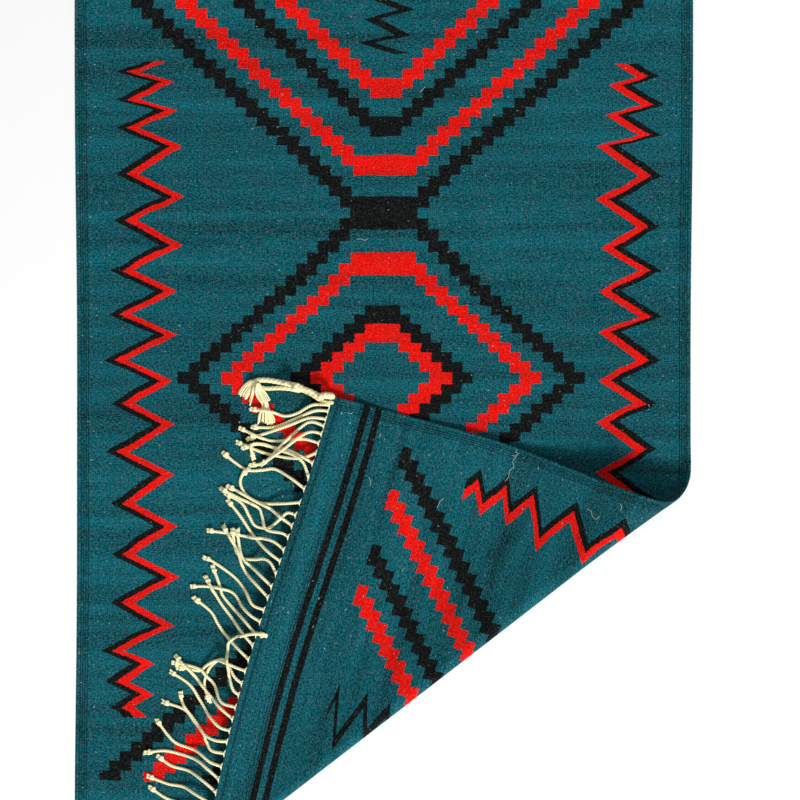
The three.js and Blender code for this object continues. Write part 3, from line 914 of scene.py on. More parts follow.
# Sharp creases on the folded corner, each a dent of bump with painted shade along it: the
# middle (across, along), the heading, the half length, the half width and the strength.
CREASES = [
    (0.4176, -0.5462, 0.07, 0.024, 0.0032, 1.0),
    (0.3861, -0.5746, 0.13, 0.015, 0.0032, 0.9),
    (0.4007, -0.6052, 0.11, 0.022, 0.0036, 0.5),
]


# %% Creases and painted shade
def crease_depth(across, along):
    """The sharp creases, 0 to 1: each is a bell along its length and across it."""
    total = across * 0.0
    for *place, half_length, half_width, strength in CREASES:
        lengthways, sideways = crease_axes(across, along, *place)
        crease = lengthways.bell(0.0, half_length) * sideways.bell(0.0, half_width)
        total = total + crease * strength
    return total


def with_painted_shade(colour, mask, shade):
    """Paints shade: the colour times 1 + shade where the mask is 1."""
    return scaled(colour, mask * shade + 1.0)


# %% The wool
def edge_lines(inset, from_end):
    """The dark lines along the ends, and those between the corded selvedges' cords. The groove
    line by each end and the seams between the cords are painted shade.
    """
    line = from_end.near(*END_LINES[0]) * GROOVE_LINE
    for middle, half_width in END_LINES[1:]:
        line = line.either(from_end.near(middle, half_width))
    nearest_seam = ((inset - EDGE_CORD) / CORD_PITCH).math("PINGPONG", 0.5)
    in_selvedge = inset.below(SELVEDGE_WIDTH + 0.001) * inset.above(EDGE_CORD - 0.002)
    return line.either(nearest_seam.below(SEAM_WIDTH) * in_selvedge)


def woven_wool():
    """The rug's finish: the design in yarn colours, flecks, dye bands, painted sheen and painted
    shade, and ribs as bump.
    """
    material, tree, shader = new_material("woven_wool")
    across, along, from_end = attribute_signals(tree, "cloth")
    inset, _, _ = attribute_signals(tree, "edges")
    pull = cloth_noise(across, along, PULL_SIZE) * PULL
    nick = cloth_noise(across, along, NICK_SIZE, along / 0.3) * NICK
    red, black = yarn_masks(across + pull + nick, along - pull, from_end)
    colour = mixed(black, mixed(red, TEAL, RED), BLACK)

    rib = across / WARP_PITCH
    wobble = cloth_noise(across, along, WOBBLE_SIZE)
    bead = (along / WEFT_PITCH + rib.math("FLOOR") + wobble).math("PINGPONG", 1.0)
    groove = (rib + wobble * 0.4).math("PINGPONG", 0.5) * 2
    flecks = cloth_noise(across, along, FLECK_SIZE, detail=2.0, roughness=0.7)
    yarn = speckle(across / YARN_LENGTH, along / WEFT_PITCH)
    dye = cloth_noise(across, along, DYE_SIZE, detail=2.0)
    cloud = cloth_noise(across, along, CLOUD_SIZE, detail=2.0)
    value = flecks * FLECK_CONTRAST + yarn * YARN_CONTRAST + dye * DYE_CONTRAST
    # Lighter toward the left of the cloth, darker toward the right.
    value = value + cloud * CLOUD_CONTRAST - across * DARKER_RIGHTWARD_PER_METRE
    # Painted shade: darker in the grooves between the ribs and between the beads.
    value = value + (groove - 0.5) * RIB_GROOVE_SHADE + (bead - 0.5) * BEAD_GROOVE_SHADE
    calm = red * CALM_RED + 1.0
    colour = scaled(colour, (value * calm + 1.0).math("MAXIMUM", DARKEST))

    # Pale fuzz at random: partly loose pale fibres, partly painted sheen.
    fuzz = cloth_noise(across, along, FUZZ_SIZE, along / 0.5)
    specks = cloth_noise(across, along, SPECK_SIZE, across / 0.4, detail=0.0)
    pale = (fuzz - FUZZ_FROM).math("MAXIMUM", 0.0) * FUZZ * (black * CALM_BLACK + 1.0)
    pale = pale * calm + (specks - SPECKS_FROM).math("MAXIMUM", 0.0) * SPECKS
    colour = mixed(pale, colour, PALE_FUZZ_AND_SHEEN)
    # Painted shade in the groove by each end, between the selvedge cords, and along the creases.
    line, crease = edge_lines(inset, from_end), crease_depth(across, along)
    colour = with_painted_shade(with_painted_shade(colour, line, PAINTED_LINE_SHADE), crease, PAINTED_CREASE_SHADE)
    tree.links.new(colour, shader.inputs["Base Color"])

    height = groove * RIB_HEIGHT + bead * BEAD_HEIGHT + flecks * FLECK_HEIGHT
    rough(shader, height - line * LINE_DEPTH - crease * CREASE_DEPTH, strength=0.9)
    shader.inputs["Roughness"].default_value = 0.95
    shader.inputs["Specular IOR Level"].default_value = 0.05
    shader.inputs["Sheen Weight"].default_value = 0.02
    shader.inputs["Sheen Roughness"].default_value = 0.6
    return material


rug.data.materials.append(woven_wool())


# %% [markdown]
# ## The fringe
#
# The warps end in cords: six warps are twisted into two plies and the plies into a cord, which
# is knotted near its tip. Each cord leaves the edge as a few thin legs that join. The cords
# are limp, so they lie on whatever is under them, and cross over one another. Every cord is
# one tube with a two-lobed section that turns along its length, which shows the plies.

# %% Sizes of a cord
CORD_RADIUS = 0.0029
PLY_DEPTH = 0.11
LAY_LENGTH = 0.0105
CORD_STEP = 0.0011
CORD_SIDES = 8
LEG_RADIUS = 0.0011
LEG_PLACES = (-0.0085, -0.0035, 0.0035, 0.0085)
LEG_LENGTH = 0.0058
KNOT_RADIUS = 0.0032
KNOT_YARN = 0.0027
KNOT_TO_TIP = 0.0105
TUFT_PAST_TIP = 0.0022
TUFT_YARNS = 5
TUFT_YARN = 0.0016
TUFT_FOOT, TUFT_END = 0.0021, 0.0031
TIP_POINT = 0.4
FLOOR_GAP = 0.00005
CORD_PITCH_ALONG_END = 0.024
FRINGE_SEED = 20
rng = np.random.default_rng(FRINGE_SEED)


def lengths_along(path):
    """The length of the path up to each of its points."""
    steps = np.linalg.norm(np.diff(path, axis=0), axis=1)
    return np.concatenate([[0.0], np.cumsum(steps)])


class PieceMaker:
    """Gathers many small closed shapes into the arrays of one mesh."""

    def __init__(self):
        self.vertices, self.faces, self.marks, self.count = [], [], [], 0

    def add(self, vertices, faces, marks):
        self.faces += [[i + self.count for i in face] for face in faces]
        self.vertices.append(vertices)
        self.marks.append(marks)
        self.count += len(vertices)

    def tube(self, path, radius, sides=CORD_SIDES, ply=0.0, lay=LAY_LENGTH, turn=0.0):
        """A tube along path. Its radius is r(1 + ply cos 2(angle - 2 pi length / lay)), so a
        ply above 0 gives two twisted lobes. Each end is closed by a low point."""
        path = np.asarray(path, dtype=float)
        radius = np.broadcast_to(radius, len(path)).astype(float)
        tangent = unit(np.gradient(path, axis=0))
        side = np.cross(tangent, [0.0, 0.0, 1.0])
        weak = np.linalg.norm(side, axis=1) < 0.05
        side[weak] = np.cross(tangent[weak], [1.0, 0.3, 0.0])
        side = unit(side)
        upward = np.cross(side, tangent)
        length = lengths_along(path)
        angle = np.linspace(0.0, 2 * np.pi, sides, endpoint=False)[None, :]
        lobes = np.cos(2 * (angle - 2 * np.pi * length[:, None] / lay - turn))
        reach = radius[:, None] * (1 + ply * lobes)
        ring = side[:, None] * (np.cos(angle) * reach)[..., None]
        ring = ring + upward[:, None] * (np.sin(angle) * reach)[..., None]
        body = (path[:, None] + ring).reshape(-1, 3)
        point = tangent[[0, -1]] * radius[[0, -1], None] * TIP_POINT
        tips = np.stack([path[0] - point[0], path[-1] + point[1]])
        index = np.arange(len(path) * sides).reshape(len(path), sides)
        around = np.roll(index, -1, axis=1)
        quads = np.stack([index[:-1], around[:-1], around[1:], index[1:]], axis=-1).reshape(-1, 4)
        first, last = index.size, index.size + 1
        caps = [[first, around[0, i], index[0, i]] for i in range(sides)]
        caps += [[last, index[-1, i], around[-1, i]] for i in range(sides)]
        marks = np.empty((*lobes.shape, 3))
        marks[..., 0], marks[..., 1], marks[..., 2] = length[:, None], lobes * (ply > 0), turn
        tip_marks = [[0.0, 0.0, turn], [length[-1], 0.0, turn]]
        marks = np.concatenate([marks.reshape(-1, 3), tip_marks])
        self.add(np.concatenate([body, tips]), quads.tolist() + caps, marks)

    def piece(self, name):
        """One mesh of the gathered shapes. What would sink into the floor lies flat on it."""
        vertices = np.concatenate(self.vertices)
        vertices[:, 2] = np.maximum(vertices[:, 2], FLOOR_GAP)
        made = add_piece(name, vertices, self.faces)
        add_attribute(made, "yarn", np.concatenate(self.marks))
        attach(made, "root")
        print(name, "has", sum(len(face) - 2 for face in self.faces), "triangles")
        return made


# %% [markdown]
# Cords that rest on each other need to know what is already there. A height map of the floor,
# the rug and its folded corner is kept, and each cord is added to it once it has been laid.

# %% The height of what lies under the cords
MAP_CELL = 0.0015
MAP_LOW = np.array([-0.82, -1.20])
MAP_SIZE = (1100, 1600)
CLOTH_STEP = 0.0013
height_map = np.zeros(MAP_SIZE)


def map_cells(points):
    """The height map's row and column of each point."""
    cells = np.round((points[:, :2] - MAP_LOW) / MAP_CELL).astype(int)
    return np.clip(cells[:, 0], 1, MAP_SIZE[0] - 2), np.clip(cells[:, 1], 1, MAP_SIZE[1] - 2)


def raise_map(points, top):
    """Raises the map to top at the points, where it is lower."""
    np.maximum.at(height_map, map_cells(points), top)


across_grid, along_grid = np.meshgrid(
    np.arange(-HALF_WIDTH, HALF_WIDTH, CLOTH_STEP),
    np.arange(-HALF_LENGTH - END_BOW, HALF_LENGTH + END_BOW, CLOTH_STEP),
)
inside = np.abs(across_grid) < edge_at(across_grid, along_grid)
inside &= np.abs(along_grid) < half_length_at(across_grid)
laid = cloth_middle(across_grid[inside], along_grid[inside])
raise_map(laid, laid[:, 2] + THICKNESS / 2 + RIDGE_HEIGHT * 0.5)


def height_under(points, reach=0.003):
    """The highest thing within reach of each point."""
    highest = np.zeros(len(points))
    for dx in (-reach, 0.0, reach):
        for dy in (-reach, 0.0, reach):
            highest = np.maximum(highest, height_map[map_cells(points[:, :2] + [dx, dy])])
    return highest


# %% Laying a cord
SAG_LENGTH = 0.085
SUNK = 0.92
STEEPEST = 0.8
SPREAD_STEPS, BLUR_STEPS = 3, 7


def resampled(points, step):
    """A smooth path through the points, in even steps: the mean of the parabolas through
    neighbouring threes (Catmull-Rom), then spaced by arc length."""
    points = np.asarray(points, dtype=float)
    padded = np.concatenate([[2 * points[0] - points[1]], points, [2 * points[-1] - points[-2]]])
    t = np.linspace(0.0, 1.0, 24, endpoint=False)[:, None]
    parts = []
    for a, b, c, d in zip(padded[:-3], padded[1:-2], padded[2:-1], padded[3:]):
        bend, twist = 2 * a - 5 * b + 4 * c - d, 3 * b - a - 3 * c + d
        parts.append(b + ((c - a) * t + bend * t**2 + twist * t**3) / 2)
    fine = np.concatenate(parts + [points[-1:]])
    length = lengths_along(fine)
    even = np.linspace(0.0, length[-1], max(4, int(length[-1] / step)))
    return np.stack([np.interp(even, length, fine[:, i]) for i in range(fine.shape[1])], axis=1)


def blurred(values, width):
    """A running mean with a raised-cosine weight."""
    weight = np.hanning(2 * width + 3)[1:-1]
    padded = np.pad(values, width, mode="edge")
    return np.convolve(padded, weight / weight.sum(), mode="valid")


def laid_path(plan, radius, start_height=None):
    """Gives a plan path its heights: the highest thing under it plus its radius, spread to
    both sides and blurred so that the cord bends gently, and let down from its root."""
    ground = height_under(plan, reach=radius) + radius * SUNK
    before, after = SPREAD_STEPS, SPREAD_STEPS + 1
    spread = np.array([ground[max(0, i - before) : i + after].max() for i in range(len(ground))])
    height = np.maximum(blurred(spread, BLUR_STEPS), ground)
    if start_height is not None:
        length = np.arange(len(plan)) * np.linalg.norm(plan[1] - plan[0])
        share = smooth(length / SAG_LENGTH)
        height = start_height * (1 - share) + np.maximum(height, start_height * (1 - share)) * share
        height = np.maximum(height, np.minimum(ground, start_height + length * STEEPEST))
    return np.column_stack([plan, height])


def stamp(path, radius):
    """Adds a laid cord to the height map."""
    way = np.gradient(path[:, :2], axis=0)
    way /= np.linalg.norm(way, axis=1, keepdims=True) + 1e-9
    for offset in np.linspace(-radius, radius, 5):
        shifted = path[:, :2] + np.stack([-way[:, 1], way[:, 0]], axis=1) * offset
        raise_map(shifted, path[:, 2] + radius * math.sqrt(max(0.2, 1 - (offset / radius) ** 2)))


# %% One cord with its legs, knot and frayed tip
KNOT_SHAPE = (1.15, 1.0, 0.9)
KNOT_RISE = 0.0010
TUFT_REACH = (0.72, 1.12)
TUFT_STRAY, TUFT_LIFT = 0.0004, 0.0012
LEG_JOINT_WIDTH = 0.72
WIDTH_WAVER, WAVER_STEP = 0.05, 0.09


def add_knot(maker, centre, way, size):
    """An overhand knot: a trefoil (sin t + 2 sin 2t, cos t - 2 cos 2t, -sin 3t) pulled tight."""
    t = np.linspace(0.0, 2 * np.pi, 30)
    loop = [np.sin(t) + 2 * np.sin(2 * t), np.cos(t) - 2 * np.cos(2 * t), -np.sin(3 * t)]
    forward, sideways, upward = np.array(loop)[:, :, None] * np.array(KNOT_SHAPE)[:, None, None] / 3
    along_way, across_way = [way[0], way[1], 0.0], [-way[1], way[0], 0.0]
    path = forward * along_way + sideways * across_way + upward * [0.0, 0.0, 1.0]
    maker.tube(centre + size * path, KNOT_YARN * size / KNOT_RADIUS, sides=6, turn=1.0)


def add_tuft(maker, start, way, length):
    """The cord's cut end past its knot: a few yarns side by side that spread and droop."""
    ground = height_under(np.array([start]), reach=0.001)[0]
    sideways = np.array([-way[1], way[0]])
    t = np.linspace(0.0, 1.0, 5)[:, None]
    for place in np.linspace(-1.0, 1.0, TUFT_YARNS):
        reach = length * rng.uniform(*TUFT_REACH)
        spread = TUFT_FOOT + (TUFT_END - TUFT_FOOT) * t
        offset = place * spread + rng.normal(0, TUFT_STRAY) * t**2
        plan = start[:2] + way * reach * t + sideways * offset
        rest = ground + TUFT_YARN + rng.uniform(0.0, TUFT_LIFT)
        height = np.maximum(start[2] + (rest - start[2]) * t[:, 0] ** 1.5, rest)
        maker.tube(np.column_stack([plan, height]), TUFT_YARN * (1.0 + 0.1 * t[:, 0]), sides=6)


def add_cord(maker, plan, roots, radius=CORD_RADIUS):
    """A cord from its roots on the edge, along a plan path, to its knot and frayed tip."""
    path = laid_path(plan, radius, start_height=roots[:, 2].mean())
    joined = int(LEG_LENGTH / CORD_STEP)
    turn = rng.uniform(0, 2 * math.pi)
    width = radius * (1 + WIDTH_WAVER * np.sin(np.arange(len(path)) * WAVER_STEP + turn))
    width[:joined] = np.linspace(LEG_JOINT_WIDTH, 1.0, joined) * radius
    knot_at = len(path) - int(KNOT_TO_TIP * rng.uniform(0.9, 1.1) / CORD_STEP)
    maker.tube(path[joined // 2 : knot_at], width[joined // 2 : knot_at], ply=PLY_DEPTH, turn=turn)
    for root in roots:
        share = np.linspace(0.0, 1.0, 6)[:, None]
        end = path[joined]
        bend = path[joined // 2] * 0.5 + (root + end) * 0.25
        leg = root * (1 - share) ** 2 + bend * 2 * share * (1 - share) + end * share**2
        maker.tube(leg, LEG_RADIUS, sides=5)
    way = unit(path[-1, :2] - path[-6, :2])
    add_knot(maker, path[knot_at] + [0, 0, KNOT_RISE], way, KNOT_RADIUS * rng.uniform(0.9, 1.2))
    foot = np.array([*(path[knot_at, :2] + way * 0.001), path[knot_at, 2]])
    add_tuft(maker, foot, way, np.linalg.norm(path[-1, :2] - foot[:2]) + TUFT_PAST_TIP)
    stamp(path, radius)


# %% Where the cords start
def end_point(from_corner, sign):
    """The middle of the cloth's edge at an end, a distance in from its +X corner."""
    across = HALF_WIDTH - from_corner
    along = sign * (half_length_at(across) - 0.0005)
    return cloth_middle(np.array([across]), np.array([along]))[0]


def roots_at(from_corner, sign):
    """The roots of a cord's legs."""
    return np.array([end_point(from_corner + place, sign) for place in LEG_PLACES])


def wandering_plan(root, heading, length, bends):
    """A limp path: its heading drifts by a slow sine and half a quick one, of random phase."""
    t = np.linspace(0.0, 1.0, 9)
    phase = rng.uniform(0, 2 * math.pi, 2)
    slow = np.sin(2.2 * t + phase[0]) - math.sin(phase[0])
    quick = np.sin(5.5 * t + phase[1]) - math.sin(phase[1])
    way = heading + bends * (slow + quick / 2)
    steps = np.stack([np.cos(way), np.sin(way)], axis=1) * length / 8
    places = np.concatenate([[[0.0, 0.0]], np.cumsum(steps[:-1], axis=0)])
    return resampled(root[:2] + places, CORD_STEP)


# %% Places in the picture
PIXEL = 0.00196
MIDDLE_PX = (384, 378)


def from_photo(points):
    """Metres on the floor, of points in the picture."""
    return (np.asarray(points, dtype=float) - MIDDLE_PX) * [PIXEL, -PIXEL]


# %% [markdown]
# At each corner the selvedge's own cords end in a tassel: a wound head, two thick cords
# knotted together, and yarns that have come loose. The one on the folded corner shows, so
# its cords and yarns are laid one by one, as the fringe is.

# %% The tassel of the folded corner
YARN_RADIUS = 0.0016
YARN_BOW, YARN_STRAY = 0.0006, 0.0007
# Each cord: its radius and the height where it starts, in metres, and its route as places in
# the picture.
TASSEL_CORDS = [
    (0.0038, 0.024,
        [(333, 402.6), (326, 402.2), (320.5, 400.0), (315, 396.5), (309, 393), (303, 390.8)]),
    (0.0047, 0.026,
        [(324, 397.6), (319, 395.2), (311, 391.2), (304, 388.8), (298, 388)]),
    (0.0041, 0.019,
        [(302, 390.4), (296, 390.2), (290, 388.9), (279, 388.2), (268, 388.6), (261, 387.4),
         (258.5, 385.5)]),
    (0.0051, 0.020,
        [(303, 388.0), (297, 385.6), (290, 384.2), (279, 381.9), (268, 380.2), (260, 380.2),
         (255, 381.6)]),
]
TASSEL_HEAD = [
    (335.4, 397.0), (334.6, 396.9), (333, 396.4), (330, 395.8), (326, 395.6), (322, 396.4),
    (319.5, 397.4),
]
HEAD_RADII = [0.0026, 0.0050, 0.0064, 0.0068, 0.0067, 0.0058, 0.0040]
HEAD_STEP, HEAD_REST = 0.0008, 0.0062
# The two knots on the cords: where they lie, and each one's size and lean.
TASSEL_KNOT, KNOT_REST = [(300.5, 388.6), (296, 387.6)], 0.0042
TASSEL_KNOTS = [(0.0056, 0.35), (0.0046, -0.6)]
THICK_PLY, THICK_LAY, HEAD_LAY = 0.04, 0.019, 0.014
LOCK_STEP, LOCK_PLACES = 0.0018, 26
# Each lock: how many yarns it has, and its first and last side, from the knot to the ends.
TASSEL_LOCKS = [
    (11, [(256, 381), (250.5, 380.6), (244.8, 384.4), (240.6, 389.6), (238.6, 394.6)],
        [(257, 383.5), (254.4, 386.5), (251, 391), (248.4, 395.5), (245.8, 399.6)]),
    (2, [(256.5, 384), (254, 388.5), (251.8, 395), (249.4, 403.5)],
        [(257.5, 384.5), (255.5, 389), (253.2, 395.5), (250.8, 404.5)]),
    (5, [(258.8, 394), (261.8, 401), (262.5, 408), (259.5, 414), (258.4, 419), (258.2, 424.5)],
        [(262, 395), (264, 401), (265, 408), (263.5, 414), (263.4, 419), (262.2, 423)]),
    (8, [(262, 395), (264.5, 401), (266, 408), (266, 414), (265.8, 419), (265.2, 425)],
        [(265, 397), (267.5, 402), (269, 408), (272, 413.5), (274.4, 419), (274, 424.6)]),
    (10, [(258, 383.5), (257, 389), (257.3, 394), (259.5, 398.8), (263.3, 403.5)],
        [(259.5, 383), (262.8, 388), (266.8, 394), (270.8, 401.8)]),
]


def yarn_lift(place):
    """How much higher a loose yarn lies: every second one rests on its neighbours."""
    return YARN_RADIUS * (0.1 + 1.1 * (place % 2))


def lay_lock(maker, count, first, last):
    """Loose yarns side by side between two paths. Every second one lies a little higher, so
    the lock is a flat bundle, which is then added to the height map."""
    paths = []
    steps = np.linspace(0.0, 1.0, len(first))[:, None]
    for place, share in enumerate(np.linspace(0.0, 1.0, count)):
        radius = YARN_RADIUS * rng.uniform(0.85, 1.2)
        wander = rng.normal(0, YARN_BOW, 2) * np.sin(np.pi * steps)
        wander = wander + rng.normal(0, YARN_STRAY, 2) * steps
        plan = (first * (1 - share) + last * share + wander)[: len(first) - rng.integers(0, 3)]
        path = laid_path(plan, radius) + [0.0, 0.0, yarn_lift(place)]
        maker.tube(path, radius * np.linspace(1.0, 0.9, len(path)), sides=6, turn=rng.uniform(0, 6))
        paths.append(path)
    for path in paths:
        stamp(path, YARN_RADIUS)


def folded_tassel():
    """The wound head, the knotted cords and the loose yarns of the folded corner."""
    maker = PieceMaker()
    for radius, start_height, points in TASSEL_CORDS:
        path = laid_path(resampled(from_photo(points), CORD_STEP), radius, start_height)
        maker.tube(path, radius, 12, THICK_PLY, THICK_LAY, turn=rng.uniform(0, 6))
        stamp(path, radius)
    head = resampled(np.column_stack([from_photo(TASSEL_HEAD), HEAD_RADII]), HEAD_STEP)
    maker.tube(laid_path(head[:, :2], HEAD_REST), head[:, 2], 16, THICK_PLY, HEAD_LAY)
    knot = laid_path(resampled(from_photo(TASSEL_KNOT), CORD_STEP), KNOT_REST)
    for size, lean in TASSEL_KNOTS:
        add_knot(maker, knot[len(knot) // 2], np.array([-math.cos(lean), math.sin(lean)]), size)
    steps = np.linspace(0.0, 1.0, LOCK_PLACES)
    for count, *sides in TASSEL_LOCKS:
        for i, side in enumerate(sides):
            side = resampled(from_photo(side), LOCK_STEP)
            shares = np.linspace(0, 1, len(side))
            sides[i] = np.column_stack([np.interp(steps, shares, axis) for axis in side.T])
        lay_lock(maker, count, *sides)
    return maker


# %% The tassels of the other corners
TASSEL_CORD, TASSEL_RADIUS, TASSEL_KNOT_SIZE = 0.062, 0.0034, 0.0044
CORNER_PLY, CORNER_LAY = 0.12, 0.018
LOCK_LENGTHS = [0.092, 0.112, 0.104, 0.084]
LOCK_YARNS = 4
LOCK_TURN, YARN_TURN = 0.15, 0.04
TASSEL_BENDS, YARN_BENDS = 0.08, 0.12


def corner_tassel(sign_across, sign_along):
    """A thick cord with a knot, and four locks of four yarns that fan from it."""
    maker = PieceMaker()
    start = np.array([sign_across * (HALF_WIDTH + 0.0008), sign_along * (HALF_LENGTH - 0.003)])
    heading = math.atan2(0.5 * sign_along, sign_across)
    plan = wandering_plan(start, heading, TASSEL_CORD, TASSEL_BENDS)
    path = laid_path(plan, TASSEL_RADIUS, start_height=TASSEL_RADIUS)
    maker.tube(path, TASSEL_RADIUS, 10, CORNER_PLY, CORNER_LAY)
    stamp(path, TASSEL_RADIUS)
    way = unit(path[-1, :2] - path[-8, :2])
    add_knot(maker, path[-1] + [0, 0, YARN_RADIUS], way, TASSEL_KNOT_SIZE)
    direction = math.atan2(way[1], way[0])
    for lock, length in enumerate(LOCK_LENGTHS):
        for yarn in range(LOCK_YARNS):
            turn = direction + (lock - 1.5) * LOCK_TURN + (yarn - 1.5) * YARN_TURN
            reach = length * rng.uniform(0.9, 1.05)
            plan = wandering_plan(path[-1, :2], turn, reach, YARN_BENDS)
            yarn_path = laid_path(plan[::2], YARN_RADIUS) + [0.0, 0.0, yarn_lift(lock + yarn)]
            maker.tube(yarn_path, YARN_RADIUS, sides=6, turn=rng.uniform(0, 6))
    return maker


tassel_makers = {"tassel_near_right": folded_tassel()}

# %% [markdown]
# The cords of the folded corner are the ones that show, so each is laid one by one, from its
# root to its tip, in places of the picture. A cord that crosses another comes after it. They
# sweep away from the edge, and some curl back.

# %% The cords of the folded corner
FOLDED_CORDS = [
    [(330, 411), (315, 411), (295, 419), (275, 427), (252, 427)],
    [(328, 419), (310, 418), (290, 425), (270, 432), (248, 439)],
    [(331, 405), (313, 405), (298, 413), (285, 416), (272, 412), (251, 409)],
    [(320, 443), (305, 439), (290, 440), (275, 441), (262, 438), (240, 428)],
    [(317, 452), (305, 457), (293, 458), (278, 456), (262, 452), (237, 442)],
    [(313, 463), (300, 455), (285, 449), (272, 447), (258, 444), (243, 448)],
    [(308, 477), (303, 462), (295, 455), (280, 450), (264, 444), (252, 445), (254, 459)],
    [(326, 426), (313, 422), (303, 426), (285, 442), (265, 462), (250, 465)],
    [(324, 434), (312, 432), (300, 437), (280, 452), (262, 464)],
    [(304, 488), (290, 477), (275, 469), (262, 470), (248, 470), (235, 462), (223, 452)],
    [(300, 501), (280, 503), (262, 503), (248, 496), (241, 485), (242, 476), (249, 469)],
    [(297, 514), (288, 512), (281, 518), (272, 526), (265, 528), (255, 525),
     (249, 515), (242, 503), (226, 493)],
    [(289, 536), (282, 532), (270, 530), (265, 526), (262, 515), (258, 507),
     (240, 498), (221, 488)],
    [(293, 525), (282, 517), (270, 508), (258, 502), (240, 492), (228, 486)],
    [(281, 560), (268, 550), (258, 540), (250, 530), (240, 515), (228, 500)],
    [(285, 549), (275, 541), (265, 538), (252, 537), (235, 534), (208, 530)],
    [(278, 573), (272, 562), (265, 558), (255, 559), (243, 558), (236, 550), (233, 528)],
    [(273, 585), (258, 571), (245, 560), (240, 548), (238, 529)],
    [(269, 596), (258, 584), (245, 570), (238, 550), (224, 526)],
    [(266, 608), (254, 603), (246, 590), (234, 576), (213, 561), (204, 557)],
    [(259, 633), (246, 619), (234, 608), (223, 595), (220, 585), (213, 566)],
    [(263, 620), (253, 614), (243, 605), (234, 593), (221, 588), (206, 586), (191, 586)],
    [(254, 643), (246, 634), (233, 618), (220, 601), (206, 576)],
    [(251, 657), (239, 646), (226, 634), (218, 623), (211, 611), (194, 597)],
    [(244, 681), (236, 674), (228, 661), (220, 659), (211, 666), (206, 676),
     (205, 686), (210, 701)],
    [(247, 668), (238, 665), (228, 661), (218, 659), (208, 664), (200, 670),
     (188, 668), (177, 667)],
    [(237, 704), (225, 701), (220, 696), (215, 684), (206, 674), (200, 668),
     (186, 664), (173, 662)],
    [(234, 716), (220, 704), (208, 691), (198, 679), (190, 669), (176, 655)],
    [(240, 692), (234, 687), (231, 677), (230, 666), (228, 653), (230, 641),
     (239, 635), (256, 631), (268, 633)],
    [(230, 727), (220, 724), (210, 714), (200, 699), (190, 684), (171, 671)],
    [(227, 738), (215, 737), (205, 732), (195, 721), (185, 709), (163, 701)],
    [(224, 750), (211, 747), (207, 737), (205, 731), (193, 716), (183, 702), (181, 691)],
    [(221, 763), (210, 759), (198, 750), (178, 743), (168, 734), (157, 719)],
    [(218, 776), (205, 764), (198, 759), (183, 754), (165, 750), (145, 752)],
    [(215, 789), (203, 778), (190, 770), (172, 765), (158, 755)],
    [(212, 801), (200, 794), (185, 786), (168, 783), (148, 775)],
    [(210, 813), (198, 810), (183, 803), (166, 797), (150, 786)],
]


ROOT_FADE = 0.06
edge_distances = np.linspace(0.005, 1.0, 2000)
edge_across = HALF_WIDTH - edge_distances
edge_points = cloth_middle(edge_across, -half_length_at(edge_across))
folded_fringe = PieceMaker()
last_root = 0.0
for points in FOLDED_CORDS:
    plan = resampled(from_photo(points), CORD_STEP)
    nearest = np.argmin(np.hypot(*(edge_points[:, :2] - plan[0]).T))
    from_corner = edge_distances[nearest]
    last_root = max(last_root, from_corner)
    shift = edge_points[nearest, :2] - plan[0]
    fade = 1 - smooth(np.arange(len(plan)) * CORD_STEP / ROOT_FADE)
    add_cord(folded_fringe, plan + shift * fade[:, None], roots_at(from_corner, -1))
print("last hand-laid cord starts", round(last_root, 4), "m from the corner")


# %% [markdown]
# The rest of the near end's cords lie on the floor or hang from the nose, and the far end's
# all lie on the floor. The picture cuts them off, so they follow one rule: square to the
# edge, with slow bends of their own.

# %% The other cords
CORD_LENGTH, LENGTH_SPREAD = 0.152, 0.006
HEADING_SPREAD, CORD_BENDS = 0.07, 0.16
NOSE_TOP_AT = 0.885
FIRST_FAR_CORD, LAST_CORD = 0.0166, 2 * HALF_WIDTH - 0.012
# Where the edge stands upright, its outward way is too short to tell, and the cord hangs.
LEAST_OUTWARD = 0.002


def add_row(maker, sign, first, last):
    """Cords at even steps from first to last, measured from the +X corner of that end."""
    for from_corner in np.arange(first, last, CORD_PITCH_ALONG_END):
        roots = roots_at(from_corner, sign)
        across = HALF_WIDTH - from_corner
        root = roots.mean(axis=0)
        further_in = sign * (half_length_at(across) - 0.004)
        outward = root - cloth_middle(np.array([across]), np.array([further_in]))[0]
        heading = -math.pi / 2
        if math.hypot(outward[0], outward[1]) > LEAST_OUTWARD:
            heading = math.atan2(outward[1], outward[0])
        length = CORD_LENGTH + rng.normal(0, LENGTH_SPREAD)
        heading += rng.normal(0, HEADING_SPREAD)
        add_cord(maker, wandering_plan(root, heading, length, CORD_BENDS), roots)


add_row(folded_fringe, -1, last_root + CORD_PITCH_ALONG_END, NOSE_TOP_AT)
floor_fringe = PieceMaker()
add_row(floor_fringe, -1, NOSE_TOP_AT, LAST_CORD)
far_fringe = PieceMaker()
add_row(far_fringe, 1, FIRST_FAR_CORD, LAST_CORD)

for name, *signs in [("near_left", -1, -1), ("far_left", -1, 1), ("far_right", 1, 1)]:
    tassel_makers["tassel_" + name] = corner_tassel(*signs)


# %% [markdown]
# A few pale hairs and scraps of fibre have come loose from the yarns and cling to the wool.
# Each is a short thin tube that rests on the cloth where the picture shows it.

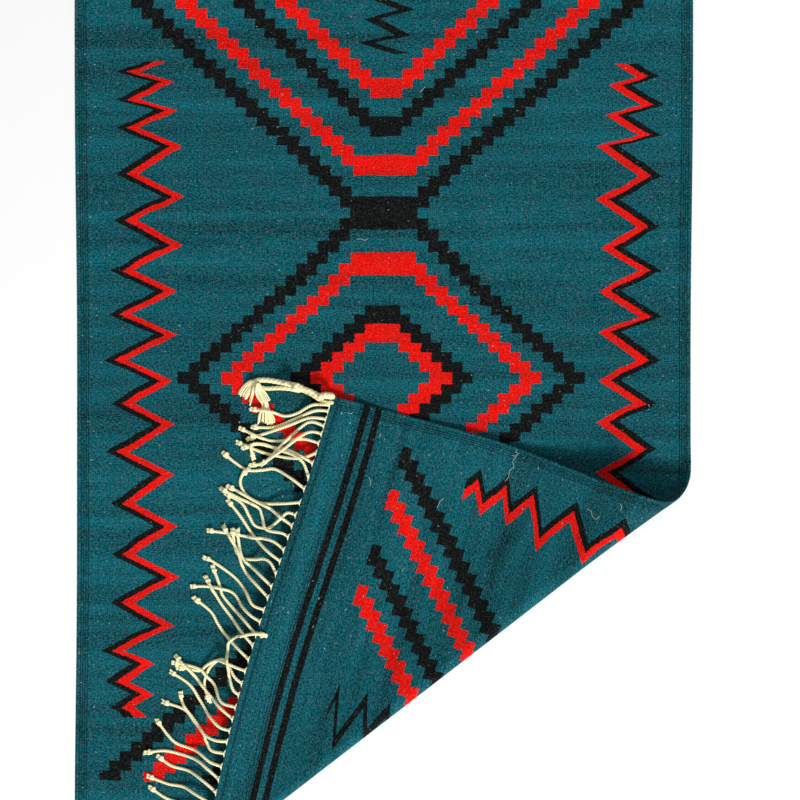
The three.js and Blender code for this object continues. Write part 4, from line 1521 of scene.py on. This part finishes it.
# %% The loose hairs
HAIR_RADIUS = 0.00034
LOOSE_HAIRS = [
    [(516.5, 449), (515, 451.5), (517, 453), (514.5, 455.5), (511.5, 455)],
    [(515.5, 456), (512, 461), (513, 466), (509, 470), (508, 476), (504.5, 481)],
    [(584, 507), (588, 509.5), (589, 514), (592.5, 517), (595.5, 514)],
    [(537, 466.5), (537.6, 469)],
    [(484, 573), (484.6, 575)],
    [(614.5, 501), (616, 504), (615, 508)],
    [(420, 92.5), (422.5, 90), (425, 87)],
    [(348, 412.5), (350.5, 413.5), (353, 412.5)],
    [(357, 239.5), (361, 239), (364.5, 240.5), (368, 238.5)],
    [(648, 404), (649.5, 407)],
    [(369, 477), (370.5, 481.5), (370, 486)],
    [(437, 507.5), (440, 501), (444, 498)],
    [(402, 571), (403.5, 568), (405, 567.5)],
    [(498, 613), (499, 616)],
    [(446.6, 585), (447.6, 588)],
]


def loose_hairs():
    """Every hair as a thin tube on the cloth."""
    maker = PieceMaker()
    for points in LOOSE_HAIRS:
        plan = resampled(from_photo(points), 0.0008)
        height = height_under(plan, reach=0.001) + HAIR_RADIUS * 0.8
        maker.tube(np.column_stack([plan, height]), HAIR_RADIUS, sides=4)
    return maker


hairs = loose_hairs()

# %% [markdown]
# Cotton cord is cream, with tan painted shade in the grooves between its plies, and patches
# of dust along it.

# %% The cotton
CREAM = srgb(255, 252, 209)
PLY_GROOVE_SHADE = srgb(213, 181, 108)
DUST = srgb(253, 240, 178)
FIBRE_HEIGHT = 0.0006


def knotted_cotton():
    """Cream cord: tan painted shade in the grooves, slow changes along it, fine fibres as bump."""
    material, tree, shader = new_material("knotted_cotton")
    length, lobe, turn = attribute_signals(tree, "yarn")
    # Painted shade: the grooves between the plies are mixed toward tan.
    depth = (lobe * -0.45 + 0.12).math("MAXIMUM", 0.0)
    patches = noise(length / 0.03, turn * 7.0, detail=2.0)
    colour = mixed((patches - 0.35) * 0.9, CREAM, DUST)
    colour = mixed(depth.math("MINIMUM", 0.8), colour, PLY_GROOVE_SHADE)
    tree.links.new(colour, shader.inputs["Base Color"])
    fibres = noise(length / 0.0012, lobe * 1.5, turn * 5.0, detail=2.0)
    rough(shader, fibres * FIBRE_HEIGHT, strength=0.5)
    shader.inputs["Roughness"].default_value = 0.85
    shader.inputs["Specular IOR Level"].default_value = 0.2
    return material


cotton = knotted_cotton()
fringes = {
    "fringe_far": far_fringe,
    "fringe_near_flat": floor_fringe,
    "fringe_near_folded": folded_fringe,
}
for node, maker in {**fringes, **tassel_makers}.items():
    piece = maker.piece("cotton_" + node)
    piece.data.materials.append(cotton)
    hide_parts(node)
hair_piece = hairs.piece("loose_hairs")
pale_fibre, _, fibre_shader = new_material("pale_fibre")
fibre_shader.inputs["Base Color"].default_value = srgb(206, 222, 212)
fibre_shader.inputs["Roughness"].default_value = 0.8
hair_piece.data.materials.append(pale_fibre)


# %% [markdown]
# The rug is one sheet of cloth, folded but not stretched, so its flat size is worked out. The
# waist and the drawn-in stretch beside the fold take a little off its area.

# %% The rug's flat size
DRAWN_IN_AREA = 0.007
flat_strips = np.linspace(-HALF_WIDTH, HALF_WIDTH, 400)
FLAT_AREA = float(np.trapz(2 * half_length_at(flat_strips), flat_strips)) - DRAWN_IN_AREA
print("flat area", round(FLAT_AREA, 4), "square metres")
